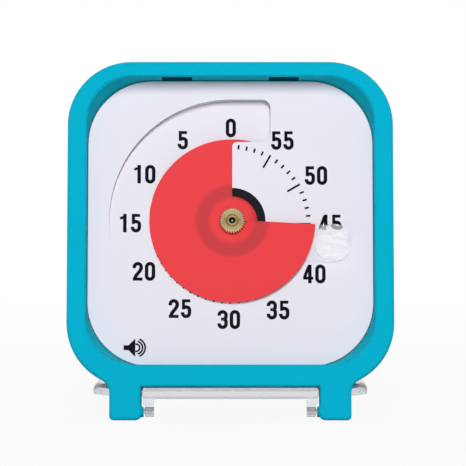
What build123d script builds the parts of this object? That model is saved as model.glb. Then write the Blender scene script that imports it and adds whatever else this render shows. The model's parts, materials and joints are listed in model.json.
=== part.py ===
from build123d import *
import math
import os

# Visual countdown timer, modelled upright in the body frame:
# X to the right of someone who looks at the dial, W (the Y axis) from the front plane back, U (Z) up.
# The lid is modelled closed, then opened, and the whole timer is leaned back on it at the end.
# All sizes are millimetres.

# ---- housing ----
body_width = 80.0
body_height = 80.8
body_corner_r = 15.7
front_edge_r = 0.8          # rounding of the front outer edge
rear_edge_r = 2.5
split_w = 20.0              # parting line between front housing and rear cover
wall = 2.0
side_rim = 4.7              # visible width of the rim at the sides
top_rim = 3.7
bottom_rim = 5.7
recess_depth = 5.8          # from the front plane to the dial
opening_front_r = 11.0      # corner radius of the opening at the front
opening_dial_r = 16.0       # and at the dial
opening_lead = 0.35         # small chamfer round the opening
latch_x = 13.2              # centre of each latch tab
latch_width = 7.0
latch_play = 0.2
latch_slot_depth = 1.2
latch_slot_w = 1.2

# ---- feet, hinge and lid ----
foot_side = 14.4            # from the side of the body to the middle of a foot
foot_width = 7.7
foot_depth = 8.6
foot_corner_r = 1.1
foot_inner_r = 1.9          # rounding of the inner lower corner
foot_step = 0.38            # the foot is this much wider round the hinge
foot_step_r = 0.3
foot_web_r = 3.6            # blend from the foot into the corner of the body
hinge_w = 3.0
hinge_drop = 5.6
hinge_height = 1.78         # height of the hinge axis above the table
hinge_pin_r = 0.7
boss_wall = 0.6            # plastic round the pin in the foot
boss_proud = 0.6
running_gap = 0.05
lid_face = 5.9              # from the hinge axis to the outer face of the lid
lid_side_gap = 1.1          # the lid is this much narrower than the opening, each side
lid_top_gap = 0.4
lid_bottom = 2.0
lid_corner_r = 13.0
lid_thickness = 1.4
lid_bead = 2.75             # depth of the stiffened rim of the lid
lid_bead_width = 1.5
lid_edge_r = 1.8
lid_open_angle = 280.0
lid_open_off_normal = lid_open_angle - 270.0
tongue_thickness = 2.7
tongue_side_gap = 0.45
ear_width = 2.75
knuckle_width = 2.3
knuckle_wall = 0.5
tab_reach = 2.2             # depth of the latch tabs behind the front plane
tab_bump = 0.45             # the tabs snap into their slots by this much
stop_gap = 0.25             # between the open lid and the underside of the body

# ---- spindle, time disc and dial ----
spindle_offset_x = 0.45
spindle_offset_u = 0.55
disc_r = 20.45
film = 0.2                  # thickness of the film
pitch = 2.6                 # the film climbs this much per turn
slot_level = 0.58           # depth of the film behind the dial face at the slit of the dial
disc_free_end = -267.6      # angle of the free end at rest, clockwise from 12 o'clock
disc_slit = 1.0
hole_r = 6.25               # centre hole of the dial
ring_r = 8.2                # outer radius of the black ring
flat_r = 3.6                # the film is flat inside this radius
hub_level = 0.25            # flat part of the film, behind the dial face
ramp_start = 255.0
ramp_depth = 2.1            # depth of the ramp at 12 o'clock
ramp_floor = 0.7            # thickness of its floor
ramp_wall = 1.0             # its floor reaches this far past its edge
dial_thickness = 1.6
dial_overlap = 1.4          # the dial reaches this far behind the rim
lip_cover = 0.75            # the film stands out this far above the lip
pocket_corner_r = 2.0
lip_corner_r = 1.2
film_gap = 0.1              # between the film and the lip of the dial
cavity_play = 2.3           # room round the film, behind the lip
knob_play = 0.2             # between the knob and the arc of the ramp
pocket_play = 0.12          # between the knob and the wall of the pocket
knob_r = 4.6
knob_height = 3.6
knob_rim = 2.2              # straight side below the dome
knob_offset = 4.65
nut_r = 3.2
nut_height = 1.2
nut_teeth = 30
nut_bore_r = 0.9
washer_height = 0.3
washer_inset = 0.5          # the washer hides behind the teeth of the nut
collar_r = 1.7
collar_back = 1.7           # collar end, behind the dial face
flange_height = 0.4
spindle_r = 0.8
spindle_tip = 0.4           # tip, behind the dial face

# ---- inside ----
film_room = 3.8             # from the dial face to the chassis plate
chassis_thickness = 1.2
chassis_gap = 0.6
chassis_rim = 2.5           # width of the rim that presses on the dial
corner_boss_r = 2.2
boss_play = 0.3             # plates stay this far off the corner bosses
boss_cover = 0.8            # the bosses stay this far behind the edge of the opening
case_screw_r = 0.9
screw_play = 0.2
screw_head_r = 1.7
screw_head_height = 1.3
screw_seat = 3.0            # from the parting line to the head of a case screw
screw_bite = 6.0            # length of a case screw in the front housing
hook_x = 12.0               # the cover hooks under the housing with two tongues
hook_width = 8.0
hook_reach = 3.0
hook_thickness = 1.2
bush_r = 2.2
plate_thickness = 1.0
movement_x0, movement_x1 = -24.0, 16.0
movement_below, movement_above = 12.45, 25.05      # from the spindle
movement_depth = 10.2
case_wall = 1.0
movement_screw_r = 0.8
movement_screw_inset = 3.2
movement_head_r = 1.5
movement_head_height = 0.6
movement_boss_r = 1.8
movement_screw_end = 3.0    # the screw holes end this far before the back of the case
gear_module = 0.35
wheel_teeth = 60
pinion_teeth = 10
mesh_play = 0.06
gear_thickness = 0.8
arbor_r = 0.45
intermediate_angle = 160.0
rotor_angle = 80.0
magnet_r = 2.8
rotor_air_gap = 0.4
stator_thickness = 1.4
stator_core = 2.8           # width of the arm inside the coil
stator_yoke = 2.0
stator_reach = 6.2
cell_r = 7.15
cell_length = 49.2
cell_nib, cell_nib_r = 1.3, 2.6
spring_room = 3.0
contact_thickness = 1.2
contact_half = 5.0          # half the width of each contact
contact_drop = 3.5
cell_u = 18.3
cell_back_gap = 0.55        # from the chassis plate to the cell
cell_door_gap = 0.35        # from the cell to the battery door
cell_play = 0.3
door_u0, door_u1 = 11.0, 25.6
door_x0 = -28.0
door_play = 0.2
door_thickness = 1.4
door_rail = 0.6             # the door runs in its grooves by this much
grip_inset = 11.0           # from the side of the body to the first grip groove of the door
grip_pitch = 1.2
switch_side = 6.8           # from the side of the body to the alert switch
switch_u = 19.0
switch_travel = 3.5
buzzer_r = 7.0
buzzer_height = 3.8
buzzer_hole_r = 0.6
buzzer_side = 14.0
buzzer_rise = 16.5          # above the spindle
board_standoff = 1.4        # from the chassis plate to the board
board_thickness = 1.0
board_peg_inset = 3.0
board_side = 5.0
board_width, board_height = 16.5, 17.5
board_drop = 10.0           # the board starts this far below the spindle

# ---- values that follow from the sizes above ----
opening_width = body_width - 2 * side_rim
opening_height = body_height - top_rim - bottom_rim
opening_u = bottom_rim + opening_height / 2
foot_x = body_width / 2 - foot_side
spindle_x = spindle_offset_x
spindle_u = opening_u + spindle_offset_u
hinge_u = -hinge_drop
boss_r = hinge_pin_r + boss_wall
knuckle_r = hinge_pin_r + knuckle_wall
slope = math.tan(math.radians(lid_open_off_normal))
under_gap = lid_face + stop_gap
lid_w = hinge_w - lid_face
lid_width = opening_width - 2 * lid_side_gap
lid_top = body_height - top_rim - lid_top_gap
lid_tip = lid_top + tab_bump - hinge_u
lid_tilt = math.degrees(math.asin((hinge_height + hinge_w - tab_reach) / lid_tip))
lean = lid_open_off_normal + lid_tilt
table_slope = math.tan(math.radians(lean))
table_u = hinge_u - hinge_height / math.cos(math.radians(lean)) - hinge_w * table_slope   # at W = 0
foot_inner_x = foot_x - foot_width / 2
tongue_half = foot_inner_x - tongue_side_gap
wheel_distance = gear_module * (wheel_teeth + pinion_teeth) / 2 + mesh_play
cavity_r = disc_r + cavity_play
lip_top = disc_r - lip_cover
knob_radius_out = disc_r + knob_r
ramp_r = math.hypot(knob_radius_out, knob_offset) + knob_r + knob_play
pocket_width = knob_offset + knob_r + pocket_play
boss_reach = (opening_dial_r + boss_cover + corner_boss_r) / math.sqrt(2)
corner_boss_x = opening_width / 2 - opening_dial_r + boss_reach
corner_boss_u = opening_height / 2 - opening_dial_r + boss_reach
chassis_front = recess_depth + film_room
chassis_back = chassis_front + chassis_thickness
cell_w = chassis_back + cell_back_gap + cell_r
back_w = cell_w + cell_r + cell_door_gap
body_depth = back_w + wall
switch_x = switch_side - body_width / 2
buzzer_x = body_width / 2 - buzzer_side
buzzer_u = spindle_u + buzzer_rise
board_x1 = body_width / 2 - board_side
board_x0 = board_x1 - board_width
board_u0 = spindle_u - board_drop
board_u1 = board_u0 + board_height
movement_u0 = spindle_u - movement_below
movement_u1 = spindle_u + movement_above
movement_case_back = chassis_back + movement_depth

parts = {}


def at_depth(sketch, w0, w1):
    """Solid of a sketch drawn in (x, u), from depth w0 to depth w1."""
    plane = Plane(origin=(0, w1, 0), x_dir=(1, 0, 0), z_dir=(0, -1, 0))
    return extrude(plane * sketch, amount=w1 - w0)


def across(points, x0, x1):
    """Prism of a polygon of (w, u) points, from x0 to x1."""
    plane = Plane(origin=(x0, 0, 0), x_dir=(0, 1, 0), z_dir=(1, 0, 0))
    return extrude(plane * make_face(Polyline(*points, close=True)), amount=x1 - x0)


def rod(x, u, r, w0, w1):
    return at_depth(Pos(x, u) * Circle(r), w0, w1)


def tube(x, u, r_out, r_in, w0, w1):
    return rod(x, u, r_out, w0, w1) - rod(x, u, r_in, w0 - 1, w1 + 1)


def block(x0, x1, w0, w1, u0, u1):
    size = (x1 - x0, w1 - w0, u1 - u0)
    return Pos((x0 + x1) / 2, (w0 + w1) / 2, (u0 + u1) / 2) * Box(*size)


def axle(x0, x1, w, u, r):
    """Cylinder along X."""
    return Pos((x0 + x1) / 2, w, u) * Rot(0, 90, 0) * Cylinder(r, x1 - x0)


def mirrored(x):
    return (-x, x)


def body_sketch(inset=0.0):
    size = (body_width - 2 * inset, body_height - 2 * inset)
    return Pos(0, body_height / 2) * RectangleRounded(*size, body_corner_r - inset)


def under_line(extra=0.0):
    """Height at W = 0 of the sloped underside, moved in by an extra thickness."""
    lift = (under_gap + extra) / math.cos(math.radians(lid_open_off_normal))
    return hinge_u + lift - hinge_w * slope


def up_slope(sketch, w0, w1):
    """Solid of a sketch drawn in (x, u) at W = 0, which climbs with the sloped underside."""
    plane = Plane(origin=(0, w0, w0 * slope), x_dir=(1, 0, 0), z_dir=(0, -1, 0))
    return Part() + Solid.extrude((plane * sketch).faces()[0], Vector(0, w1 - w0, (w1 - w0) * slope))


def around_bottom(outline, w0, w1):
    """Everything under and beside the lower half of a sloped outline, to cut away."""
    below = Pos(0, opening_u / 2 - body_height / 2) * Rectangle(2 * body_width, opening_u + body_height)
    return up_slope(below - outline, w0, w1)


def below_underside(extra=0.0, w0=-1.0):
    """What lies outside the sloped underside and its rounded corners, moved in by an extra thickness."""
    return around_bottom(Pos(0, under_line(extra) - extra) * body_sketch(extra), w0, body_depth + 1)


def below_table():
    """Everything under the table plane, which leans with the timer."""
    near, far, deep = -20, 40, -60
    surface = [(w, table_u + w * table_slope) for w in (near, far)]
    return across([*surface, (far, deep), (near, deep)], -body_width, body_width)


def corner_bosses():
    """Places of the two case screws, in the upper corners."""
    return [(x, opening_u + corner_boss_u) for x in mirrored(corner_boss_x)]


# ---- housing ----
def foot_sketch():
    """Outline of the body with both feet, blended into its corners."""
    outline = body_sketch()
    foot_end = table_u - under_line()
    foot_top = foot_corner_r + body_corner_r / 3
    step_top = hinge_u + boss_r - under_line()
    for side in (-1, 1):
        outline += Pos(side * foot_x, (foot_end + foot_top) / 2) * Rectangle(foot_width, foot_top - foot_end)
        step = Rectangle(2 * foot_step, step_top - foot_end)
        outline += Pos(side * foot_inner_x, (foot_end + step_top) / 2) * step
    outer = foot_x + foot_width / 2
    webs = [v for v in outline.vertices() if abs(abs(v.X) - outer) < 0.01 and v.Y > foot_end / 2]
    outline = fillet(webs, foot_web_r)
    steps = [v for v in outline.vertices() if abs(v.Y - step_top) < 0.01 and abs(v.X) < foot_inner_x - 0.01]
    outline = fillet(steps, foot_step_r)
    low = [v for v in outline.vertices() if v.Y < foot_end + 0.01]
    outline = fillet([v for v in low if abs(v.X) > foot_x], foot_corner_r)
    low = [v for v in outline.vertices() if v.Y < foot_end + 0.01 and abs(v.X) < foot_inner_x]
    return fillet(low, foot_inner_r)


def opening_void():
    centre = Pos(0, opening_u)
    front = Plane(origin=(0, 0, 0), x_dir=(1, 0, 0), z_dir=(0, -1, 0))
    dial = Plane(origin=(0, recess_depth, 0), x_dir=(1, 0, 0), z_dir=(0, -1, 0))
    lead = Plane(origin=(0, opening_lead, 0), x_dir=(1, 0, 0), z_dir=(0, -1, 0))
    lead_r = opening_front_r + opening_lead
    near = centre * RectangleRounded(opening_width, opening_height, opening_front_r)
    far = centre * RectangleRounded(opening_width, opening_height, opening_dial_r)
    wide = (opening_width + 2 * opening_lead, opening_height + 2 * opening_lead)
    mouth = centre * RectangleRounded(*wide, lead_r)
    body = loft([front * near, dial * far], ruled=True)
    chamfer_ring = loft([front * mouth, lead * near], ruled=True)
    return body + chamfer_ring


def front_housing():
    outline = foot_sketch()
    shell = at_depth(outline, 0, foot_depth)
    shell -= around_bottom(Pos(0, under_line()) * outline, -1, foot_depth + 1)
    front_edges = [e for e in shell.edges() if e.bounding_box().max.Y < 1e-4]
    shell = fillet(front_edges, front_edge_r)
    shell += at_depth(body_sketch(), foot_depth, split_w) - below_underside(0, foot_depth - 1)
    shell -= at_depth(body_sketch(wall), recess_depth, split_w + 1) - below_underside(wall)
    shell -= opening_void()
    for x, u in corner_bosses():
        shell += rod(x, u, corner_boss_r, recess_depth, split_w) & at_depth(body_sketch(0.5), 0, split_w)
    shell -= below_table()
    for side in (-1, 1):
        ends = sorted((side * foot_inner_x + side * 0.5, side * (foot_inner_x - boss_proud)))
        shell += axle(*ends, hinge_w, hinge_u, boss_r)
        pin_ends = sorted((side * (foot_inner_x - 2), side * (foot_x + 1)))
        shell -= axle(*pin_ends, hinge_w, hinge_u, hinge_pin_r)
    slot_top = opening_u + opening_height / 2 + latch_slot_depth
    half = latch_width / 2 + latch_play
    for x in mirrored(latch_x):
        shell -= block(x - half, x + half, latch_slot_w, recess_depth, slot_top - 4, slot_top)
    for x, u in corner_bosses():
        shell -= rod(x, u, case_screw_r, split_w - screw_bite - 1, split_w + 1)
    return shell


def rear_block():
    """Outside of the rear cover, before it is hollowed."""
    solid = at_depth(body_sketch(), split_w, body_depth) - below_underside()
    rear_edges = [e for e in solid.edges() if e.bounding_box().min.Y > body_depth - 1e-4]
    return fillet(rear_edges, rear_edge_r)


def rear_cover():
    shell = rear_block() - (at_depth(body_sketch(wall), split_w - 1, back_w) - below_underside(wall))
    for x, u in corner_bosses():
        column = rod(x, u, corner_boss_r + 0.6, split_w, body_depth - 1)
        shell += column & at_depth(body_sketch(0.5), 0, body_depth)
    for x, u in corner_bosses():
        shell -= rod(x, u, case_screw_r + screw_play, split_w - 1, body_depth + 1)
        shell -= rod(x, u, screw_head_r + screw_play, split_w + screw_seat, body_depth + 1)
    # two tongues that reach into the front housing, along the inside of its sloped underside
    for x in mirrored(hook_x):
        hook_u = under_line(wall) + running_gap + hook_thickness / 2
        hook = Pos(x, hook_u) * Rectangle(hook_width, hook_thickness)
        shell += up_slope(hook, split_w - hook_reach, split_w + hook_reach)
    for x in mirrored(hook_x):
        root_u = under_line(wall / 2) + (wall / 2 + hook_thickness) / 2
        root = Pos(x, root_u) * Rectangle(hook_width, wall / 2 + hook_thickness)
        shell += up_slope(root, split_w + running_gap, split_w + hook_reach)
    # opening for the battery door, with a groove along both long edges
    shell -= block(door_x0, body_width, body_depth - door_thickness, body_depth + 1, door_u0, door_u1)
    lip = door_rail + door_play
    groove = (back_w - 0.1, body_depth - door_thickness + 0.01, door_u0 - lip, door_u1 + lip)
    shell -= block(door_x0, body_width, *groove)
    shell -= block(door_x0 + 3, -door_x0 - 3, split_w + 3, body_depth, door_u0 + 0.6, door_u1 - 0.6)
    # slot for the alert switch and holes for the buzzer
    shell -= block(switch_x - 1.6, switch_x + 1.6, back_w - 1, body_depth + 1,
                   switch_u - 2.4, switch_u - 2.4 + switch_travel + 4.8)
    shell -= rod(buzzer_x, buzzer_u, buzzer_hole_r, back_w - 1, body_depth + 1)
    for turn in range(8):
        angle = math.radians(45 * turn)
        x = buzzer_x + 3 * math.cos(angle)
        shell -= rod(x, buzzer_u + 3 * math.sin(angle), buzzer_hole_r, back_w - 1, body_depth + 1)
    shell += tube(buzzer_x, buzzer_u, buzzer_r + 1.2, buzzer_r + 0.1, back_w - 3, back_w + 0.1)
    return shell


def battery_door():
    """Sliding door, which ends in the rounded side of the cover."""
    edge = door_play
    x0, x1 = door_x0 + edge, body_width / 2
    door = block(x0, x1, body_depth - door_thickness, body_depth, door_u0 + edge, door_u1 - edge)
    door += block(x0, x1, back_w, body_depth - door_thickness, door_u0 - door_rail, door_u1 + door_rail)
    for k in range(5):
        x = x1 - grip_inset + grip_pitch * k
        door -= block(x, x + 0.5, body_depth - 0.4, body_depth + 1, door_u0 + 3, door_u1 - 3)
    return door & rear_block()


# ---- dial ----
def polar(r, clock):
    """Point at radius r and an angle in degrees, clockwise from 12 o'clock."""
    a = math.radians(clock)
    return spindle_x + r * math.sin(a), spindle_u + r * math.cos(a)


def sheet(rows, front, back):
    """Closed solid between two depths, over a grid of (x, u, clock) points.

    front and back give the depth at a point; the faces are flat triangles."""
    def corner(point, depth):
        return (point[0], depth(point), point[1])

    def strips(grid):
        for lower, upper in zip(grid, grid[1:]):
            for k in range(len(lower) - 1):
                yield lower[k], lower[k + 1], upper[k + 1]
                yield lower[k], upper[k + 1], upper[k]

    faces = []
    for depth in (front, back):
        for triangle in strips(rows):
            faces.append(Face(Wire.make_polygon([corner(p, depth) for p in triangle])))
    first = [row[0] for row in rows]
    last = [row[-1] for row in rows]
    for edge in (rows[0], rows[-1], first, last):
        for p, q in zip(edge, edge[1:]):
            a, b = corner(p, front), corner(q, front)
            c, d = corner(q, back), corner(p, back)
            faces.append(Face(Wire.make_polygon([a, b, c])))
            faces.append(Face(Wire.make_polygon([a, c, d])))
    return Solid(Shell(faces))


def sector(radii, start, end, step):
    count = max(1, round((end - start) / step))
    angles = [start + (end - start) * k / count for k in range(count + 1)]
    return [[(*polar(r, a), a) for a in angles] for r in radii]


def film_depth(clock):
    """Depth of the middle of the film outside the hole of the dial."""
    return recess_depth + slot_level + pitch * clock / 360


def ramp(clock):
    return recess_depth + ramp_depth * (clock - ramp_start) / (360 - ramp_start)


def pocket_sketch(grow=0.0):
    """The pocket for the knob, right of the slit, above the lip."""
    low = lip_top - 1.5 if grow else lip_top
    high = ramp_r + grow
    right = pocket_width + grow
    box = Pos(spindle_x + right / 2 - 0.1, spindle_u + (low + high) / 2)
    shape = box * Rectangle(right + 0.2, high - low)
    corners = [v for v in shape.vertices() if v.X > spindle_x + 1]
    return fillet(corners, pocket_corner_r + grow)


def dial_blank():
    """Dial with its ramp and pocket, still with the part that becomes the black ring."""
    size = (opening_width + 2 * dial_overlap, opening_height + 2 * dial_overlap)
    outline = Pos(0, opening_u) * RectangleRounded(*size, opening_dial_r + dial_overlap)
    back = recess_depth + dial_thickness
    blank = at_depth(outline, recess_depth, back)
    for x, u in corner_bosses():
        blank -= rod(x, u, corner_boss_r + boss_play, 0, split_w)
    # the latch tabs of the lid look into dark gaps behind the rim
    opening_top = opening_u + opening_height / 2
    half = latch_width / 2 + latch_play
    for x in mirrored(latch_x):
        blank -= block(x - half, x + half, 0, split_w, opening_top, opening_top + dial_overlap + 1)
    # way for the film behind the lip, from the slit on
    lip_back = film_depth(0) - film / 2 - film_gap
    passage = sector([3, cavity_r], 0, 172, 4)
    blank -= sheet(passage, lambda p: lip_back + pitch * p[2] / 360, lambda p: back + 1)
    # the ramp that lets film and knob sink to the slit
    hollow = sector([3, ramp_r], ramp_start, 360, 3)
    blank -= sheet(hollow, lambda p: recess_depth - 1, lambda p: ramp(p[2]))
    floor = sector([3, ramp_r + ramp_wall], ramp_start, 360, 3)
    blank += sheet(floor, lambda p: ramp(p[2]), lambda p: max(ramp(p[2]) + ramp_floor, back))
    bottom = recess_depth + ramp_depth
    blank -= at_depth(pocket_sketch(), recess_depth - 1, bottom)
    blank += at_depth(pocket_sketch(ramp_wall), bottom, bottom + ramp_floor)
    blank -= at_depth(lip_corner(), recess_depth - 1, (lip_back + bottom) / 2)
    return blank


def lip_corner():
    """What the rounding of the lip takes off, where its top edge meets the slit."""
    x, u, r = spindle_x, spindle_u + lip_top, lip_corner_r
    square = Pos(x + r / 2 - 0.1, u - r / 2 + 0.1) * Rectangle(r + 0.2, r + 0.2)
    rounded = Pos(x + r, u - r) * Circle(r) + Pos(x + r + 1, u - r) * Rectangle(2, 2 * r)
    return square - rounded - Pos(x + r, u - r - 1) * Rectangle(2 * r, 2)


def dial_plate_and_ring():
    blank = dial_blank()
    inner = rod(spindle_x, spindle_u, ring_r, 0, split_w)
    hole = rod(spindle_x, spindle_u, hole_r, 0, split_w)
    ring = (blank & inner) - hole
    return blank - inner, ring


# ---- time disc ----
def disc_levels(r, clock):
    """Middle of the film: flat at the hub, a screw surface outside the hole of the dial."""
    flat = recess_depth + hub_level
    if r <= flat_r:
        return flat
    share = min(1.0, (r - flat_r) / (hole_r - flat_r))
    return flat + (film_depth(clock) - flat) * share


def time_disc():
    start = disc_free_end + disc_slit / 2
    end = disc_free_end + 360 - disc_slit / 2
    rows = sector([collar_r + running_gap, flat_r, hole_r, disc_r], start, end, 5)

    def middle(p):
        return disc_levels(math.hypot(p[0] - spindle_x, p[1] - spindle_u), p[2])

    return sheet(rows, lambda p: middle(p) - film / 2, lambda p: middle(p) + film / 2)


def along_free_end(out, aside):
    """Point at a distance out from the spindle along the free end, and aside from it, clockwise."""
    r = math.hypot(out, aside)
    clock = disc_free_end + disc_slit / 2 + math.degrees(math.atan2(aside, out))
    return (*polar(r, clock), clock)


def disc_tab():
    """Clear strip that goes on from the rim of the film to the far side of the knob."""
    count = 12
    first, last = 0.05, knob_offset + knob_r * 0.97
    rows = []
    for share in (0, 0.5, 1):
        row = []
        for k in range(count + 1):
            aside = first + (last - first) * k / count
            inner = math.sqrt(disc_r ** 2 - aside ** 2)
            outer = knob_radius_out + math.sqrt(max(knob_r ** 2 - (aside - knob_offset) ** 2, 0.1))
            row.append(along_free_end(inner + (outer - inner) * share, aside))
        rows.append(row)
    return sheet(rows, lambda p: film_depth(p[2]) - film / 2, lambda p: film_depth(p[2]) + film / 2)


def knob_place():
    x, u, clock = along_free_end(knob_radius_out, knob_offset)
    return x, u, film_depth(clock) - film / 2


def setting_knob():
    """Domed button: a cap of a ball on a straight rim."""
    x, u, w = knob_place()
    cap = knob_height - knob_rim
    ball_r = (knob_r ** 2 + cap ** 2) / (2 * cap)
    base = rod(x, u, knob_r, w - knob_height, w + film / 2)
    ball = Pos(x, w - knob_height + ball_r, u) * Sphere(ball_r)
    return (base & ball) - disc_tab()


def knurled_nut():
    front = recess_depth + hub_level - film / 2 - washer_height - nut_height
    back = front + nut_height
    points = []
    depth = 0.28
    for k in range(nut_teeth):
        for share, r in ((0.0, nut_r - depth), (0.3, nut_r), (0.7, nut_r), (1.0, nut_r - depth)):
            a = 2 * math.pi * (k + 0.85 * share) / nut_teeth
            points.append((spindle_x + r * math.cos(a), spindle_u + r * math.sin(a)))
    nut = at_depth(make_face(Polyline(*points, close=True)), front, back)
    nut -= rod(spindle_x, spindle_u, nut_bore_r, front - 1, back + 1)
    sink = Pos(spindle_x, front + 0.3, spindle_u) * Rot(90, 0, 0) * Cone(1.4, 2.05, 0.6)
    return nut - sink


def disc_washer():
    back = recess_depth + hub_level - film / 2
    front = back - washer_height
    return tube(spindle_x, spindle_u, nut_r - washer_inset, spindle_r + running_gap, front, back)


def disc_hub():
    front = recess_depth + hub_level - film / 2
    flange = front + film
    hub = rod(spindle_x, spindle_u, collar_r, front, recess_depth + collar_back)
    hub += rod(spindle_x, spindle_u, flat_r - 0.1, flange, flange + flange_height)
    return hub - rod(spindle_x, spindle_u, spindle_r + running_gap, front - 1, split_w)


# ---- spindle and movement ----
def tooth_ring(teeth, bore_r, phase, x, u, w0, w1):
    """Spur wheel with straight-sided teeth and ample backlash."""
    pitch_r = gear_module * teeth / 2
    tip_r = pitch_r + 0.7 * gear_module
    root_r = pitch_r - 1.2 * gear_module
    step = 2 * math.pi / teeth
    points = []
    for k in range(teeth):
        centre = phase + k * step
        for r, share in ((root_r, -0.2), (tip_r, -0.07), (tip_r, 0.07), (root_r, 0.2)):
            a = centre + share * step
            points.append((x + r * math.cos(a), u + r * math.sin(a)))
    wheel = at_depth(make_face(Polyline(*points, close=True)), w0, w1)
    return wheel - rod(x, u, bore_r, w0 - 1, w1 + 1)


def beside(x, u, angle):
    a = math.radians(angle)
    return x + wheel_distance * math.cos(a), u + wheel_distance * math.sin(a)


intermediate_x, intermediate_u = beside(spindle_x, spindle_u, intermediate_angle)
rotor_x, rotor_u = beside(intermediate_x, intermediate_u, rotor_angle)
plate_w0 = chassis_back
plate_w1 = plate_w0 + plate_thickness
centre_w = plate_w1 + 0.5
second_w = centre_w + 1.8
magnet_w = second_w + 1.6
stator_w0 = magnet_w + 0.3
case_inner_back = movement_case_back - case_wall
meet = math.pi / pinion_teeth


def spindle():
    shaft = rod(spindle_x, spindle_u, spindle_r, recess_depth + spindle_tip, case_inner_back + 0.5)
    shoulder = rod(spindle_x, spindle_u, spindle_r + 0.5, plate_w1 + 0.1, centre_w)
    return shaft + shoulder


def centre_wheel():
    phase = math.radians(intermediate_angle)
    return tooth_ring(wheel_teeth, spindle_r, phase, spindle_x, spindle_u, centre_w,
                      centre_w + gear_thickness)


def clutch_spring():
    w0 = centre_w + gear_thickness
    cup = Pos(spindle_x, w0 + 0.3, spindle_u) * Rot(90, 0, 0) * Cone(2.0, 3.0, 0.6)
    return cup - rod(spindle_x, spindle_u, spindle_r, w0 - 1, w0 + 2)


def intermediate_wheel():
    x, u = intermediate_x, intermediate_u
    phase = math.radians(intermediate_angle + 180) + meet
    pinion = tooth_ring(pinion_teeth, 0.01, phase, x, u, centre_w - 0.2, second_w)
    wheel = tooth_ring(wheel_teeth, 0.01, math.radians(rotor_angle), x, u, second_w,
                       second_w + gear_thickness)
    arbor = rod(x, u, arbor_r, plate_w0 + 0.2, case_inner_back + 0.5)
    return pinion + wheel + arbor


def rotor_pinion():
    phase = math.radians(rotor_angle + 180) + meet
    pinion = tooth_ring(pinion_teeth, 0.01, phase, rotor_x, rotor_u, second_w - 0.2, magnet_w)
    return pinion + rod(rotor_x, rotor_u, arbor_r, plate_w0 + 0.2, case_inner_back + 0.5)


def rotor_magnet():
    return tube(rotor_x, rotor_u, magnet_r, arbor_r, magnet_w, magnet_w + 2.0)


def movement_outline(inset=0.0):
    size = (movement_x1 - movement_x0 - 2 * inset, movement_u1 - movement_u0 - 2 * inset)
    centre = Pos((movement_x0 + movement_x1) / 2, (movement_u0 + movement_u1) / 2)
    return centre * RectangleRounded(*size, 3 - inset)


def movement_screw_places():
    inset = movement_screw_inset
    near, far = movement_x0 + inset, movement_x1 - inset
    return [(near, movement_u0 + inset), (far, movement_u0 + inset), (near, movement_u1 - inset)]


def movement_front_plate():
    plate = at_depth(movement_outline(), plate_w0, plate_w1)
    plate -= rod(spindle_x, spindle_u, bush_r, 0, split_w)
    for x, u in ((intermediate_x, intermediate_u), (rotor_x, rotor_u)):
        plate -= rod(x, u, arbor_r + running_gap, 0, split_w)
    for x, u in movement_screw_places():
        plate -= rod(x, u, movement_screw_r, 0, split_w)
    return plate


def movement_case():
    cup = at_depth(movement_outline(), plate_w1, movement_case_back)
    cup -= at_depth(movement_outline(case_wall), plate_w1 - 1, case_inner_back)
    for x, u in movement_screw_places():
        cup += rod(x, u, movement_boss_r, plate_w1, movement_case_back)
    for x, u in movement_screw_places():
        cup -= rod(x, u, movement_screw_r, 0, movement_case_back - movement_screw_end)
    cup -= rod(spindle_x, spindle_u, spindle_r + running_gap, 0, movement_case_back + 1)
    for x, u in ((intermediate_x, intermediate_u), (rotor_x, rotor_u)):
        cup -= rod(x, u, arbor_r + running_gap, 0, movement_case_back + 1)
    return cup


def stator():
    """Iron plate round the rotor, with a core for the coil and a yoke that closes the loop."""
    w0, w1 = stator_w0, stator_w0 + stator_thickness
    bore = magnet_r + rotor_air_gap
    plate = rod(rotor_x, rotor_u, bore + stator_yoke, w0, w1)
    right = movement_x1 - case_wall - 1.5
    low, high = rotor_u - stator_core / 2, rotor_u + stator_reach
    plate += block(rotor_x, right, w0, w1, low, low + stator_core)
    plate += block(rotor_x, right, w0, w1, high - stator_yoke, high)
    plate += block(right - stator_yoke, right, w0, w1, low, high)
    plate += block(rotor_x - stator_yoke / 2, rotor_x + stator_yoke / 2, w0, w1, rotor_u + bore + 0.2, high)
    return plate - rod(rotor_x, rotor_u, bore, w0 - 1, w1 + 1)


def coil():
    w_mid = stator_w0 + stator_thickness / 2
    x0 = rotor_x + magnet_r + rotor_air_gap + 3
    x1 = movement_x1 - case_wall - 4.2
    cheek = 0.6
    winding = block(x0 + cheek, x1 - cheek, w_mid - 2.4, w_mid + 2.4, rotor_u - 2.6, rotor_u + 2.6)
    for x in (x0, x1 - cheek):
        winding += block(x, x + cheek, w_mid - 2.8, w_mid + 2.6, rotor_u - 3.0, rotor_u + 3.0)
    gap = 0.1
    half_w, half_u = stator_thickness / 2 + gap, stator_core / 2 + gap
    return winding - block(x0 - 1, x1 + 1, w_mid - half_w, w_mid + half_w, rotor_u - half_u, rotor_u + half_u)


def spindle_bush():
    bush = rod(spindle_x, spindle_u, bush_r, chassis_front + 0.2, plate_w1)
    return bush - rod(spindle_x, spindle_u, spindle_r + running_gap, 0, split_w)


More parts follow.
